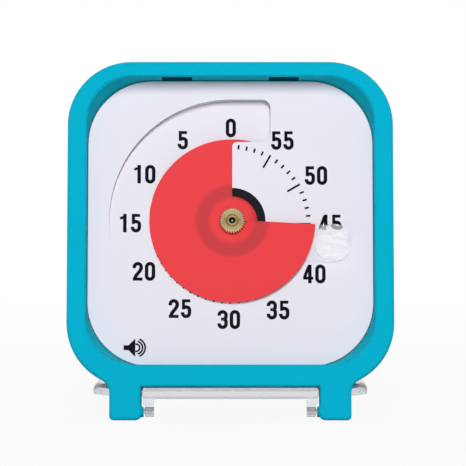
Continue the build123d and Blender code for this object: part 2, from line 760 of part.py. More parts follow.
def chassis_plate():
    inset = wall + chassis_gap / 2
    plate = at_depth(body_sketch(inset), chassis_front, plate_w0)
    size = (opening_width + 2 * dial_overlap, opening_height + 2 * dial_overlap)
    rim = Pos(0, opening_u) * RectangleRounded(*size, opening_dial_r + dial_overlap)
    inner = (size[0] - 2 * chassis_rim, size[1] - 2 * chassis_rim)
    rim -= Pos(0, opening_u) * RectangleRounded(*inner, opening_dial_r + dial_overlap - chassis_rim)
    plate += at_depth(rim, recess_depth + dial_thickness, chassis_front)
    # the ramp and the pocket of the dial reach down to the plate
    ramp_room = ramp_wall + boss_play
    plate -= rod(spindle_x, spindle_u, ramp_r + ramp_room, recess_depth, chassis_front)
    plate -= at_depth(pocket_sketch(ramp_room), recess_depth, chassis_front)
    plate -= rod(spindle_x, spindle_u, bush_r, 0, split_w)
    for x, u in corner_bosses():
        plate -= rod(x, u, corner_boss_r + boss_play, 0, split_w)
    for x, u in movement_screw_places():
        plate -= rod(x, u, movement_screw_r, 0, split_w)
    for u in board_pegs():
        peg_x = board_x0 + board_peg_inset
        plate += rod(peg_x, u, 1.4, plate_w0, plate_w0 + board_standoff)
        plate -= rod(peg_x, u, 0.5, plate_w0, plate_w0 + board_standoff + 1)
    return plate - below_underside(wall + chassis_gap / 2)


# ---- electrics ----
board_w1 = plate_w0 + board_standoff + board_thickness


def board_pegs():
    return (board_u0 + board_peg_inset, board_u1 - board_peg_inset)


def circuit_board():
    board = block(board_x0, board_x1, board_w1 - board_thickness, board_w1, board_u0, board_u1)
    for u in board_pegs():
        board -= rod(board_x0 + board_peg_inset, u, 0.6, 0, split_w)
    return board


def quartz_crystal():
    r = 1.0
    return Pos(board_x1 - 4, board_w1 + r, (board_u0 + board_u1) / 2) * Cylinder(r, 6.0)


def timing_chip():
    half = 2.5
    x, u = (board_x0 + board_x1) / 2, (board_u0 + board_u1) / 2
    return block(x - half, x + half, board_w1, board_w1 + 1.2, u - half, u + half)


def buzzer():
    can = rod(buzzer_x, buzzer_u, buzzer_r, back_w - 0.2 - buzzer_height, back_w - 0.2)
    return can - rod(buzzer_x, buzzer_u, 0.8, back_w - 1.5, back_w)


def switch_body():
    base = block(switch_x - 2.8, switch_x + 2.8, back_w - 4.5, back_w - 0.2,
                 switch_u - 3.4, switch_u + switch_travel + 3.4)
    return base - block(switch_x - 1.1, switch_x + 1.1, back_w - 3.4, back_w,
                        switch_u - 1.7, switch_u + switch_travel + 1.7)


def switch_slider():
    knob = block(switch_x - 1.4, switch_x + 1.4, back_w + 0.2, body_depth + 0.8,
                 switch_u - 2.2, switch_u + 2.2)
    for k in (-1, 0, 1):
        knob -= block(switch_x - 2, switch_x + 2, body_depth + 0.5, body_depth + 1,
                      switch_u + 1.2 * k - 0.25, switch_u + 1.2 * k + 0.25)
    return knob + block(switch_x - 0.9, switch_x + 0.9, back_w - 3.1, back_w + 0.3,
                        switch_u - 1.5, switch_u + 1.5)


def battery_cell():
    half = cell_length / 2
    can = axle(-half, half, cell_w, cell_u, cell_r)
    return can + axle(half, half + cell_nib, cell_w, cell_u, cell_nib_r)


def tray_ends():
    half = cell_length / 2
    return -half - spring_room, half + cell_nib + contact_thickness


def battery_tray():
    x0, x1 = tray_ends()
    r = cell_r + cell_play
    floor = plate_w0 + 0.1
    tray = block(x0 - 1, x1 + 1, floor, cell_w, cell_u - r - 1, cell_u + r + 1)
    tray -= axle(x0, x1, cell_w, cell_u, r)
    return tray - below_underside(wall + chassis_gap)


def battery_spring():
    """Conical spring contact, as stepped coils on a plate."""
    x0, _ = tray_ends()
    plate = 0.4
    contact = block(x0, x0 + plate, cell_w - contact_half, cell_w + contact_half,
                    cell_u - contact_drop, cell_u + contact_drop)
    steps = 4
    length = -cell_length / 2 - x0 - plate
    for k in range(steps):
        a = x0 + plate + length * k / steps
        r = 3.2 - 0.45 * k
        turn = axle(a, a + length / steps, cell_w, cell_u, r)
        contact += turn - axle(a - 1, a + 3, cell_w, cell_u, r - 0.9)
    return contact


def positive_contact():
    _, x1 = tray_ends()
    return block(x1 - contact_thickness, x1, cell_w - contact_half, cell_w + contact_half,
                 cell_u - contact_drop, cell_u + contact_drop)


def case_screws():
    screws = []
    for x, u in corner_bosses():
        head_w = split_w + screw_seat
        screw = rod(x, u, case_screw_r, split_w - screw_bite, head_w)
        screw += rod(x, u, screw_head_r, head_w, head_w + screw_head_height)
        screw -= block(x - 1.1, x + 1.1, head_w + 0.7, head_w + 2, u - 0.25, u + 0.25)
        screw -= block(x - 0.25, x + 0.25, head_w + 0.7, head_w + 2, u - 1.1, u + 1.1)
        screws.append(screw)
    return Compound(screws)


def movement_screws():
    screws = []
    for x, u in movement_screw_places():
        tip = movement_case_back - movement_screw_end - screw_play
        head = rod(x, u, movement_head_r, chassis_front - movement_head_height, chassis_front)
        screws.append(head + rod(x, u, movement_screw_r, chassis_front, tip))
    return Compound(screws)


# ---- lid ----
def lens_lid():
    """Clear lid, closed: plate with a rim, latch tabs at the top, tongue and hinge ears below."""
    middle = (lid_top + lid_bottom) / 2
    height = lid_top - lid_bottom
    outline = Pos(0, middle) * RectangleRounded(lid_width, height, lid_corner_r)
    inside = (lid_width - 2 * lid_bead_width, height - 2 * lid_bead_width)
    inner = Pos(0, middle) * RectangleRounded(*inside, lid_corner_r - lid_bead_width)
    lid = at_depth(outline, lid_w, lid_w + lid_bead)
    front = [e for e in lid.edges() if e.bounding_box().max.Y < lid_w + 1e-4]
    lid = fillet(front, lid_edge_r)
    lid -= at_depth(inner, lid_w + lid_thickness, lid_w + lid_bead + 1)
    low = hinge_u - knuckle_r
    tongue = block(-tongue_half, tongue_half, lid_w, lid_w + tongue_thickness, low, lid_bottom + 4)
    lid += tongue
    for side in (-1, 1):
        ends = sorted((side * tongue_half, side * (tongue_half - ear_width)))
        lid += block(*ends, lid_w + 1, lid_w + tongue_thickness + 1.3, low, low + 3.0)
        inner_x = tongue_half - ear_width
        ends = sorted((side * inner_x, side * (inner_x + knuckle_width)))
        lid += axle(*ends, hinge_w, hinge_u, knuckle_r)
        lid += block(*ends, lid_w + tongue_thickness, hinge_w, low, low + 1.0)
        lid -= axle(ends[0] - 1, ends[1] + 2, hinge_w, hinge_u, hinge_pin_r + running_gap)
    for x in mirrored(latch_x):
        half = latch_width / 2
        top = lid_top
        lid += block(x - half, x + half, lid_w + 0.5, tab_reach, top - 1.5, top)
        lid += block(x - half, x + half, tab_reach - 0.9, tab_reach, top - 0.2, top + tab_bump)
    return lid


def hinge_pins():
    pins = []
    for side in (-1, 1):
        ends = sorted((side * (foot_x + 1), side * (tongue_half - ear_width + 0.2)))
        pins.append(axle(*ends, hinge_w, hinge_u, hinge_pin_r))
    return Compound(pins)


# ---- assembly ----
dial_plate, hub_ring = dial_plate_and_ring()
parts["front_housing"] = front_housing()
parts["rear_cover"] = rear_cover()
parts["battery_door"] = battery_door()
parts["dial_plate"] = dial_plate
parts["hub_ring"] = hub_ring
parts["time_disc"] = time_disc()
parts["disc_tab"] = disc_tab()
parts["setting_knob"] = setting_knob()
parts["knurled_nut"] = knurled_nut()
parts["disc_washer"] = disc_washer()
parts["disc_hub"] = disc_hub()
parts["spindle"] = spindle()
parts["spindle_bush"] = spindle_bush()
parts["chassis_plate"] = chassis_plate()
parts["movement_front_plate"] = movement_front_plate()
parts["movement_case"] = movement_case()
parts["movement_screws"] = movement_screws()
parts["centre_wheel"] = centre_wheel()
parts["clutch_spring"] = clutch_spring()
parts["intermediate_wheel"] = intermediate_wheel()
parts["rotor_pinion"] = rotor_pinion()
parts["rotor_magnet"] = rotor_magnet()
parts["stator"] = stator()
parts["coil"] = coil()
parts["circuit_board"] = circuit_board()
parts["quartz_crystal"] = quartz_crystal()
parts["timing_chip"] = timing_chip()
parts["buzzer"] = buzzer()
parts["switch_body"] = switch_body()
parts["switch_slider"] = switch_slider()
parts["battery_tray"] = battery_tray()
parts["battery_cell"] = battery_cell()
parts["battery_spring"] = battery_spring()
parts["positive_contact"] = positive_contact()
parts["case_screws"] = case_screws()
parts["hinge_pins"] = hinge_pins()
hinge = Axis((0, hinge_w, hinge_u), (1, 0, 0))
parts["lens_lid"] = lens_lid().rotate(hinge, lid_open_angle)

# lean the timer back onto the open lid, stand it on the table and centre it
for name, part in parts.items():
    parts[name] = part.rotate(Axis.X, -lean)
boxes = [part.bounding_box() for part in parts.values()]
low = Vector(*(min(tuple(box.min)[k] for box in boxes) for k in range(3)))
high = Vector(*(max(tuple(box.max)[k] for box in boxes) for k in range(3)))
shift = Vector(-(low.X + high.X) / 2, -(low.Y + high.Y) / 2, -low.Z)

os.makedirs("parts", exist_ok=True)
for name, part in parts.items():
    export_step(part.moved(Location(shift)), f"parts/{name}.step")


def in_row(x, w, u):
    """Place of a point of the body frame once the timer stands on the table."""
    a = math.radians(-lean)
    y = w * math.cos(a) - u * math.sin(a) + shift.Y
    z = w * math.sin(a) + u * math.cos(a) + shift.Z
    return tuple(round(v, 3) for v in (x + shift.X, y, z))


print("lean", round(lean, 4), "shift", tuple(shift))
print("size", tuple(high - low))
print("hinge axis", in_row(0, hinge_w, hinge_u))
print("spindle at dial", in_row(spindle_x, recess_depth, spindle_u))
print("intermediate arbor", in_row(intermediate_x, second_w, intermediate_u))
print("rotor arbor", in_row(rotor_x, second_w, rotor_u))
print("foot base", in_row(foot_x, foot_depth / 2, table_u + foot_depth / 2 * table_slope))
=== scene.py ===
# %% [markdown]
# # A visual countdown timer
# A red film disc turns in front of a white dial and disappears behind it as the minutes run out.
# The case stands leaned back on its own clear cover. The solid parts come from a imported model,
# and this lesson gives them their finishes, prints the dial and lights the whole.

import json
import math

import bmesh
import bpy
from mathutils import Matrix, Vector


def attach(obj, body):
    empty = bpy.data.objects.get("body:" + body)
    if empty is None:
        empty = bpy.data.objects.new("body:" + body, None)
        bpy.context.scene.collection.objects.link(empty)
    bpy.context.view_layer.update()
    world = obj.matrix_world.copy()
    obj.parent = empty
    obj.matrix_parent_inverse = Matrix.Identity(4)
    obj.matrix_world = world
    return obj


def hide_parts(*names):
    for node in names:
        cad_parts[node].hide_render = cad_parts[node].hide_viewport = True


MM = 0.001                             # metres

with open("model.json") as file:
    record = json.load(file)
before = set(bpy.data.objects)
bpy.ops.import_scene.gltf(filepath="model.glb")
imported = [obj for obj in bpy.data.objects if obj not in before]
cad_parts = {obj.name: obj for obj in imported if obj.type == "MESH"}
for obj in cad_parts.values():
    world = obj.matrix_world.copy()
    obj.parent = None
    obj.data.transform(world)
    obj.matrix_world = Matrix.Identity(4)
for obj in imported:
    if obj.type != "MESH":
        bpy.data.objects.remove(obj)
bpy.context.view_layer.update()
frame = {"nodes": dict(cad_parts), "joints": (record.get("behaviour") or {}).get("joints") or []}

# %% [markdown]
# ## Directions of the leaning case
# The case leans back, so its own depth and height aren't the world's Y and Z. They could be typed in
# as angles, but the joints already know them: the disc turns about the depth direction, and the alert
# switch slides along the height. All later places are (x, depth, height) in millimetres on the case.

# %% Case directions
joints = {j["name"]: j for j in frame["joints"]}
RIGHT = Vector((1, 0, 0))
BACK = Vector(joints["disc_turn"]["axis"]).normalized()
UP = Vector(joints["alert_slide"]["axis"]).normalized()
SPINDLE_X, SPINDLE_U = 0.45, 41.95     # spindle, from the middle and from the bottom of the case
HINGE_W, HINGE_U = 3.0, -5.6           # axis of the lid hinge
hinge = Vector(joints["lid_hinge"]["pos_m"])
ORIGIN = hinge - BACK * (HINGE_W * MM) - UP * (HINGE_U * MM)


def place(x, w, u):
    """Row-frame point of a place on the case: to the right, in from the front, up from the bottom."""
    return ORIGIN + (RIGHT * x + BACK * w + UP * u) * MM


spindle_gap = (Vector(joints["disc_turn"]["pos_m"]) - place(SPINDLE_X, 0, SPINDLE_U)).cross(BACK)
print("lean", round(math.degrees(math.atan2(-BACK.z, BACK.y)), 2), "deg, spindle off by",
      round(spindle_gap.length / MM, 4), "mm")

# %% [markdown]
# ## Camera
# The picture looks almost square at the dial, a little from below its normal, from far away with a
# long lens, so that the case shows hardly any perspective. The camera could be aimed by eye. It is
# worked out instead from one point it looks at, its distance and the size of a millimetre in pixels.

# %% Camera
IMAGE_SIDE = 466
PIXELS_PER_MM = 4.084                  # at the front of the case
CAMERA_DISTANCE = 832.0                # mm
CAMERA_ELEVATION = 3.29                # degrees above the horizon
AIM_RIGHT, AIM_UP = 0.64, -3.34        # aim point, from the middle of the opening
OPENING_U = 41.4
SENSOR = 36.0

elevation = math.radians(CAMERA_ELEVATION)
view_line = Vector((0, math.cos(elevation), -math.sin(elevation)))
view_up = Vector((0, math.sin(elevation), math.cos(elevation)))
aim = place(0, 0, OPENING_U) + (RIGHT * AIM_RIGHT + view_up * AIM_UP) * MM
camera_data = bpy.data.cameras.new("camera")
camera_data.sensor_width = SENSOR
camera_data.lens = SENSOR * PIXELS_PER_MM * CAMERA_DISTANCE / IMAGE_SIDE
camera_data.clip_start = 0.05
camera_data.clip_end = 50
camera = bpy.data.objects.new("camera", camera_data)
camera.location = aim - view_line * (CAMERA_DISTANCE * MM)
camera.rotation_mode = "QUATERNION"
camera.rotation_quaternion = view_line.to_track_quat("-Z", "Y")
bpy.context.scene.collection.objects.link(camera)
bpy.context.scene.camera = camera
bpy.context.scene.view_settings.view_transform = "Standard"
print("lens", round(camera_data.lens, 1), "mm")

# %% [markdown]
# ## Small helpers for materials
# Every finish is a node tree. Typing each node by hand is long, so a few helpers turn a colour as a
# screen shows it into the linear one that Blender wants, add a node with its values, a sum, a colour
# ramp or a bump, and make a material.

# %% Material helpers


def screen(r, g, b):
    """Linear colour of a screen colour given as 0 to 255."""
    def linear(v):
        v /= 255
        return v / 12.92 if v <= 0.04045 else ((v + 0.055) / 1.055) ** 2.4
    return (linear(r), linear(g), linear(b), 1.0)


def add(tree, kind, **inputs):
    """A new node of that kind, with socket values given by name."""
    node = tree.nodes.new("ShaderNode" + kind)
    for name, value in inputs.items():
        node.inputs[name.replace("_", " ")].default_value = value
    return node


def calculate(tree, operation, *values):
    """Output of a new Math node; each value is a number or the output of another node."""
    node = add(tree, "Math")
    node.operation = operation
    for socket, value in zip(node.inputs, values):
        if isinstance(value, (int, float)):
            socket.default_value = value
        else:
            tree.links.new(value, socket)
    return node.outputs[0]


def color_ramp(tree, stops):
    """Colour ramp with (position, colour) stops, in order."""
    node = add(tree, "ValToRGB")
    elements = node.color_ramp.elements
    elements.remove(elements[1])
    elements[0].position, elements[0].color = stops[0]
    for position, color in stops[1:]:
        elements.new(position).color = color
    return node


def add_bump(tree, shader, height, strength, depth):
    """Bumps the surface of a shader by a height from 0 to 1; depth is in mm."""
    bumps = add(tree, "Bump", Strength=strength, Distance=depth * MM)
    tree.links.new(height, bumps.inputs["Height"])
    tree.links.new(bumps.outputs["Normal"], shader.inputs["Normal"])


def principled(name, **values):
    """A material with one Principled shader: the material, its tree and the shader."""
    material = bpy.data.materials.new(name)
    material.use_nodes = True
    tree = material.node_tree
    shader = tree.nodes["Principled BSDF"]
    for key, value in values.items():
        shader.inputs[key.replace("_", " ")].default_value = value
    return material, tree, shader


# %% [markdown]
# ## Surface groups
# Plastics and metals each share one pattern. It could be copied into every material, but a node group
# holds it once: it takes a colour and a few settings, and gives back the colour, the roughness and a
# height for the bump.

# %% Group helpers
COLOR_A, COLOR_B = 6, 7                # the colour inputs of a Mix node
SURFACE_BUMP = 0.5                     # strength of the bump on all plastics and metals


def surface_group(name, *settings):
    """Node group with a colour and settings going in: the group, its input and its output node."""
    group = bpy.data.node_groups.new(name, "ShaderNodeTree")
    face = group.interface
    for way, numbers in (("INPUT", settings), ("OUTPUT", ("Roughness", "Height"))):
        face.new_socket("Color", in_out=way, socket_type="NodeSocketColor")
        for number in numbers:
            face.new_socket(number, in_out=way, socket_type="NodeSocketFloat")
    return group, group.nodes.new("NodeGroupInput"), group.nodes.new("NodeGroupOutput")


def surfaced(name, group, settings, bump, **values):
    """Material that takes its colour, roughness and bump, in mm, from a surface group."""
    material, tree, shader = principled(name, **values)
    surface = tree.nodes.new("ShaderNodeGroup")
    surface.node_tree = group
    for setting, value in settings.items():
        surface.inputs[setting].default_value = value
    tree.links.new(surface.outputs["Color"], shader.inputs["Base Color"])
    tree.links.new(surface.outputs["Roughness"], shader.inputs["Roughness"])
    add_bump(tree, shader, surface.outputs["Height"], SURFACE_BUMP, bump)
    return material


# %% [markdown]
# ## Moulded surface
# Moulded plastic is never perfectly even: it has a fine eroded grain from the mould, and broad soft
# changes of gloss and of shade. All the plastics here share these, so they are one node group, with
# the grain's size and the strengths set for each material.

# %% Moulded surface group
NOISE_LOW, NOISE_HIGH = 0.3, 0.7       # nearly all of a noise lies between these
GLOSS_CHANGE = 0.08                    # on the roughness, from one place to another


def moulded_surface():
    group, start, end = surface_group("moulded surface", "Grain size", "Variation", "Roughness")
    link = group.links.new
    coordinates = add(group, "TexCoord")
    grain = add(group, "TexNoise", Detail=3.0, Roughness=0.6)
    link(coordinates.outputs["Object"], grain.inputs["Vector"])
    link(calculate(group, "DIVIDE", 1 / MM, start.outputs["Grain size"]), grain.inputs["Scale"])
    link(grain.outputs["Fac"], end.inputs["Height"])

    # broad changes of lightness, both ways from the plain colour, and of gloss
    cloud = add(group, "TexNoise", Scale=55.0, Detail=4.0, Roughness=0.55)
    link(coordinates.outputs["Object"], cloud.inputs["Vector"])
    shade = add(group, "MapRange", From_Min=NOISE_LOW, From_Max=NOISE_HIGH)
    variation = start.outputs["Variation"]
    link(cloud.outputs["Fac"], shade.inputs["Value"])
    link(calculate(group, "SUBTRACT", 1.0, variation), shade.inputs["To Min"])
    link(calculate(group, "ADD", 1.0, variation), shade.inputs["To Max"])
    tint = add(group, "VectorMath")
    tint.operation = "SCALE"
    link(start.outputs["Color"], tint.inputs[0])
    link(shade.outputs["Result"], tint.inputs["Scale"])
    link(tint.outputs[0], end.inputs["Color"])
    gloss = calculate(group, "MULTIPLY_ADD", cloud.outputs["Fac"], GLOSS_CHANGE,
                      start.outputs["Roughness"])
    link(gloss, end.inputs["Roughness"])
    return group


MOULDED = moulded_surface()
print("moulded surface group has", len(MOULDED.nodes), "nodes")


def plastic(name, color, roughness, grain=0.25, bump=0.006, specular=0.3, variation=0.03):
    """Moulded plastic: grain is the size of its texture and bump its depth, in mm."""
    settings = {"Color": color, "Roughness": roughness, "Grain size": grain, "Variation": variation}
    return surfaced(name, MOULDED, settings, bump, Specular_IOR_Level=specular)


# %% [markdown]
# ## Teal housing, white dial and black ring
# The housing is a saturated teal with a soft satin gloss. The dial is a cool white, almost matt so
# that the numbers read from any side, and the ring round its hole is black.

# %% Plastics of the outside
teal = plastic("housing_teal", screen(9, 173, 203), 0.5, specular=0.02, variation=0.02)
dial_white = plastic("dial_white", screen(229, 226, 235), 0.5, grain=0.4, bump=0.003,
                     specular=0.1, variation=0.008)
ring_black = plastic("ring_black", screen(33, 33, 37), 0.5, specular=0.02, variation=0.1)
print("outside plastics", teal.name, dial_white.name, ring_black.name)

# %% [markdown]
# ## Painted shade on the wall of the opening
# The wall between the rim and the dial lies in the rim's shade, which is painted into its colour:
# a deeper, greener teal on the wall, and darker still where it meets the dial. It is part of the
# same moulding, so it can't have a slot of its own. Its place is worked out instead from where a
# point lies on the case: behind the front, and inside the outline of the opening.

# %% Painted shade on the wall of the opening
OPENING_HALF = 36.3                    # mm, outside the wall of the opening, inside the case
CORNER_SUM = 68.0                      # mm, the same across a corner: distances right and up, added
# painted shade: a deeper, greener teal on the wall, and darker still where the wall meets the dial
WALL_PAINTED_SHADE = (0.3, 1.0, 0.9, 1)
DEEP_PAINTED_SHADE = (0.3, 0.6, 0.5, 1)
UNCHANGED = (1, 1, 1, 1)
WALL_STOPS = (                         # (mm behind the front of the case, painted shade as a factor on the colour)
    (0.25, UNCHANGED), (0.7, WALL_PAINTED_SHADE), (4.6, WALL_PAINTED_SHADE), (5.5, DEEP_PAINTED_SHADE), (6.0, UNCHANGED),
)
WALL_SPAN = 10.0                       # mm of depth from one end of the colour ramp to the other


# paints the rim's shade into the colour of the wall of the opening
def darken_opening(material):
    tree = material.node_tree
    link = tree.links.new
    shader = tree.nodes["Principled BSDF"]
    coordinates = add(tree, "TexCoord")
    centre = place(0, 0, OPENING_U)

    def along(direction):
        """Distance in mm along a direction, from the middle of the opening to the surface."""
        offset = add(tree, "VectorMath")
        offset.operation = "SUBTRACT"
        offset.inputs[1].default_value = centre
        link(coordinates.outputs["Object"], offset.inputs[0])
        dot = add(tree, "VectorMath")
        dot.operation = "DOT_PRODUCT"
        dot.inputs[1].default_value = direction / MM
        link(offset.outputs[0], dot.inputs[0])
        return dot.outputs["Value"]

    shade = color_ramp(tree, [(depth / WALL_SPAN, factor) for depth, factor in WALL_STOPS])
    link(calculate(tree, "DIVIDE", along(BACK), WALL_SPAN), shade.inputs["Fac"])
    aside = [calculate(tree, "ABSOLUTE", along(direction)) for direction in (RIGHT, UP)]
    inside_sides = calculate(tree, "LESS_THAN", calculate(tree, "MAXIMUM", *aside), OPENING_HALF)
    inside_corners = calculate(tree, "LESS_THAN", calculate(tree, "ADD", *aside), CORNER_SUM)
    mix = add(tree, "Mix")
    mix.data_type = "RGBA"
    mix.blend_type = "MULTIPLY"
    plain = shader.inputs["Base Color"].links[0].from_socket
    link(calculate(tree, "MULTIPLY", inside_sides, inside_corners), mix.inputs[0])
    link(plain, mix.inputs[COLOR_A])
    link(shade.outputs["Color"], mix.inputs[COLOR_B])
    link(mix.outputs[2], shader.inputs["Base Color"])


darken_opening(teal)
print("wall of the opening darkened in", len(WALL_STOPS), "stops")

# %% [markdown]
# ## Plastics of the inside
# The battery box and the movement are plain engineering plastics. They show only through the
# switch slot, the buzzer holes and an open battery door, but they get the same moulded surface. The
# plate behind the dial shows in the slit and in the gaps of the dial; its duller teal is painted
# shade, standing for the unlit hollow case behind the gaps.

# %% Plastics of the inside
# painted shade: a duller teal for the unlit inside of the case, seen through the slit and the gaps
painted_shade_teal = plastic("painted_shade_teal", screen(4, 154, 164), 0.5, specular=0.02)
inner_black = plastic("inner_black", screen(30, 30, 33), 0.45, specular=0.25, variation=0.08)
inner_white = plastic("inner_white", screen(214, 214, 208), 0.5)
switch_black = plastic("switch_black", screen(26, 27, 30), 0.38, grain=0.35, specular=0.3)
hub_red = plastic("hub_red", screen(200, 40, 44), 0.4)
board_green = plastic("board_green", screen(22, 92, 60), 0.35, grain=0.6, variation=0.12)
cell_jacket = plastic("cell_jacket", screen(96, 104, 112), 0.3, grain=1.5, bump=0.0,
                      specular=0.5)

# %% [markdown]
# ## Metals
# Turned, stamped and ground metal all carry fine marks that break up their highlights, and duller
# patches where they have tarnished. The marks could be modelled, but they are far too fine. A small
# noise that moves roughness and bump stands for them, in one group again; brass, steel and copper
# only differ in colour, gloss and tarnish.

# %% Metal group and metals
MARKS_ROUGHEN = 0.15                   # on the roughness, at the deepest marks
TARNISHED = (0.09, 0.06, 0.03, 1.0)    # the colour that tarnish moves towards


def metal_surface():
    group, start, end = surface_group("metal surface", "Mark size", "Roughness", "Tarnish")
    link = group.links.new
    coordinates = add(group, "TexCoord")
    marks = add(group, "TexNoise", Detail=4.0, Roughness=0.7)
    link(coordinates.outputs["Object"], marks.inputs["Vector"])
    link(calculate(group, "DIVIDE", 1 / MM, start.outputs["Mark size"]), marks.inputs["Scale"])
    link(marks.outputs["Fac"], end.inputs["Height"])
    gloss = calculate(group, "MULTIPLY_ADD", marks.outputs["Fac"], MARKS_ROUGHEN,
                      start.outputs["Roughness"])
    link(gloss, end.inputs["Roughness"])
    patches = add(group, "TexNoise", Scale=400.0, Detail=3.0)
    link(coordinates.outputs["Object"], patches.inputs["Vector"])
    dulled = add(group, "Mix")
    dulled.data_type = "RGBA"
    dulled.inputs[COLOR_B].default_value = TARNISHED
    link(calculate(group, "MULTIPLY", patches.outputs["Fac"], start.outputs["Tarnish"]),
         dulled.inputs[0])
    link(start.outputs["Color"], dulled.inputs[COLOR_A])
    link(dulled.outputs[2], end.inputs["Color"])
    return group


METAL = metal_surface()


def metal(name, color, roughness, mark=0.2, bump=0.003, tarnish=0.1):
    """Metal: mark is the size of its fine marks and bump their depth, in mm."""
    settings = {"Color": color, "Roughness": roughness, "Mark size": mark, "Tarnish": tarnish}
    return surfaced(name, METAL, settings, bump, Metallic=1.0)


brass = metal("brass", screen(232, 208, 158), 0.2, tarnish=0.25)
steel = metal("steel", screen(226, 224, 220), 0.15, tarnish=0.04)
# the end of the spindle: blackened steel, whose darkness also stands in for the shade deep in the bore
# of the nut
dark_steel = metal("dark_steel", screen(30, 28, 28), 0.3, tarnish=0.02)
magnet_iron = metal("magnet_iron", screen(82, 80, 80), 0.4)
copper = metal("copper_winding", screen(196, 110, 72), 0.35, mark=0.1, bump=0.02)
crystal_can = metal("crystal_can", screen(205, 205, 208), 0.2)
print("metals", brass.name, steel.name, copper.name)

# %% [markdown]
# ## Clear plastic
# The cover and the knob are clear moulded plastic, so light bends through them and their edges look
# darker. Alpha would only fade them; transmission with a real index of refraction bends what is
# behind, which is how the knob breaks up the number under it.

# %% Clear plastic
SHADOW_LIGHT = 0.99                    # share of a lamp's light that passes through


def clear_plastic(name, color, roughness, transmission):
    """Clear moulded plastic with faint flow waves; light for shadows passes mostly through it."""
    material, tree, shader = principled(
        name, Base_Color=color, Metallic=0.0, Roughness=roughness, IOR=1.49,
        Transmission_Weight=transmission)
    waves = add(tree, "TexNoise", Scale=120.0, Detail=1.0)
    coordinates = add(tree, "TexCoord")
    tree.links.new(coordinates.outputs["Object"], waves.inputs["Vector"])
    add_bump(tree, shader, waves.outputs["Fac"], 0.2, 0.02)
    shadow_ray = add(tree, "LightPath").outputs["Is Shadow Ray"]
    tree.links.new(calculate(tree, "MULTIPLY_ADD", shadow_ray, -SHADOW_LIGHT, 1.0),
                   shader.inputs["Alpha"])
    return material


clear = clear_plastic("clear_plastic", (1.0, 1.0, 1.0, 1.0), 0.02, 0.93)
clear_cover = clear_plastic("clear_cover", (0.82, 0.825, 0.87, 1.0), 0.08, 0.85)
print("clear plastics", clear.name, clear_cover.name)

# %% [markdown]
# ## Clear tab
# The tab under the knob is a strip so thin that light doesn't bend in it. It could be glass as well,
# but its faces touch the knob's, and a ray can't tell two touching panes apart. So it's a pale
# plastic that is almost all see-through.

# %% Clear tab
clear_film, tab_tree, tab_shader = principled(
    "clear_film", Base_Color=(0.9, 0.9, 0.92, 1.0), Roughness=0.2, Alpha=0.12)
clear_film.surface_render_method = "BLENDED"
tab_waves = add(tab_tree, "TexNoise", Scale=150.0, Detail=2.0)
add_bump(tab_tree, tab_shader, tab_waves.outputs["Fac"], 0.2, 0.01)
print("clear film", clear_film.name)

# %% [markdown]
# ## Red film
# The disc is a thin red film. It lets some light through: over the white dial it glows an even
# coral red, and over the black ring it turns duller. Real transparency would need light to pass
# the film twice, which renders noisy and dark, so the film is an opaque satin red that turns duller
# in a soft band round the spindle, where the ring lies behind it.

# %% Red film material
RING_IN, RING_OUT = 6.25, 8.2          # mm from the spindle
BAND_IN, BAND_OUT = 0.3, 0.2           # the full band starts and ends this far outside the ring's edges
BAND_SOFT = 1.5                        # and has faded out this far inside and outside the ring
BAND_SPAN = 21.0                       # mm from one end of the colour ramp to the other
FILM_OVER_WHITE = screen(231, 68, 73)
FILM_OVER_RING = screen(199, 65, 69)
FILM_STOPS = (                         # (mm from the spindle, colour)
    (RING_IN - BAND_SOFT, FILM_OVER_WHITE), (RING_IN + BAND_IN, FILM_OVER_RING),
    (RING_OUT + BAND_OUT, FILM_OVER_RING), (RING_OUT + BAND_SOFT, FILM_OVER_WHITE),
)
film_red, film_tree, film_shader = principled(
    "film_red", Specular_IOR_Level=0.1, Roughness=0.42)
film_link = film_tree.links.new
film_place = add(film_tree, "Attribute")
film_place.attribute_name = "from_spindle"
band = color_ramp(film_tree, [(r / BAND_SPAN, color) for r, color in FILM_STOPS])
band.color_ramp.interpolation = "EASE"
film_link(calculate(film_tree, "DIVIDE", film_place.outputs["Fac"], BAND_SPAN), band.inputs["Fac"])
film_link(band.outputs["Color"], film_shader.inputs["Base Color"])
film_waves = add(film_tree, "TexNoise", Scale=90.0, Detail=2.0)
film_coordinates = add(film_tree, "TexCoord")
film_link(film_coordinates.outputs["Object"], film_waves.inputs["Vector"])
add_bump(film_tree, film_shader, film_waves.outputs["Fac"], 0.3, 0.03)
print("red film", film_red.name, "with", len(FILM_STOPS), "stops")

# %% [markdown]
# ## Finishes onto the carried-over parts
# The imported solids come with plain materials named after their finish. Each gets the finished
# material of the same name in the same slot, so no part keeps a flat colour. Four parts then get a
# finish of their own: the cover is duller than the knob, the tab is a film, the end of the spindle
# is dark steel that also stands for the shade deep in the bore, and the plate behind the dial is a
# duller teal, painted shade for the unlit case behind its gaps.

# %% Finishes
FINISHES = {
    "housing_teal": teal, "dial_white": dial_white, "ring_black": ring_black,
    "film_red": film_red, "clear_plastic": clear, "brass": brass, "steel": steel,
    "hub_red": hub_red, "inner_black": inner_black, "inner_white": inner_white,
    "magnet_iron": magnet_iron, "copper_winding": copper, "board_green": board_green,
    "crystal_can": crystal_can, "switch_black": switch_black, "cell_jacket": cell_jacket,
}
OWN_FINISHES = {
    "lens_lid": clear_cover, "spindle": dark_steel, "chassis_plate": painted_shade_teal,
    "disc_tab": clear_film,
}
finished = 0
for name, node in frame["nodes"].items():
    for material_slot in node.material_slots:
        finish = FINISHES[material_slot.material.name.split(".")[0]]
        material_slot.material = OWN_FINISHES.get(name, finish)
        finished += 1
print("finished slots", finished)

# %% [markdown]
# ## A mesh helper
# The pieces below are worked out point by point in the case's own directions. One helper turns the
# points and faces into an object that rides on the right body of the model.

# %% Mesh helper


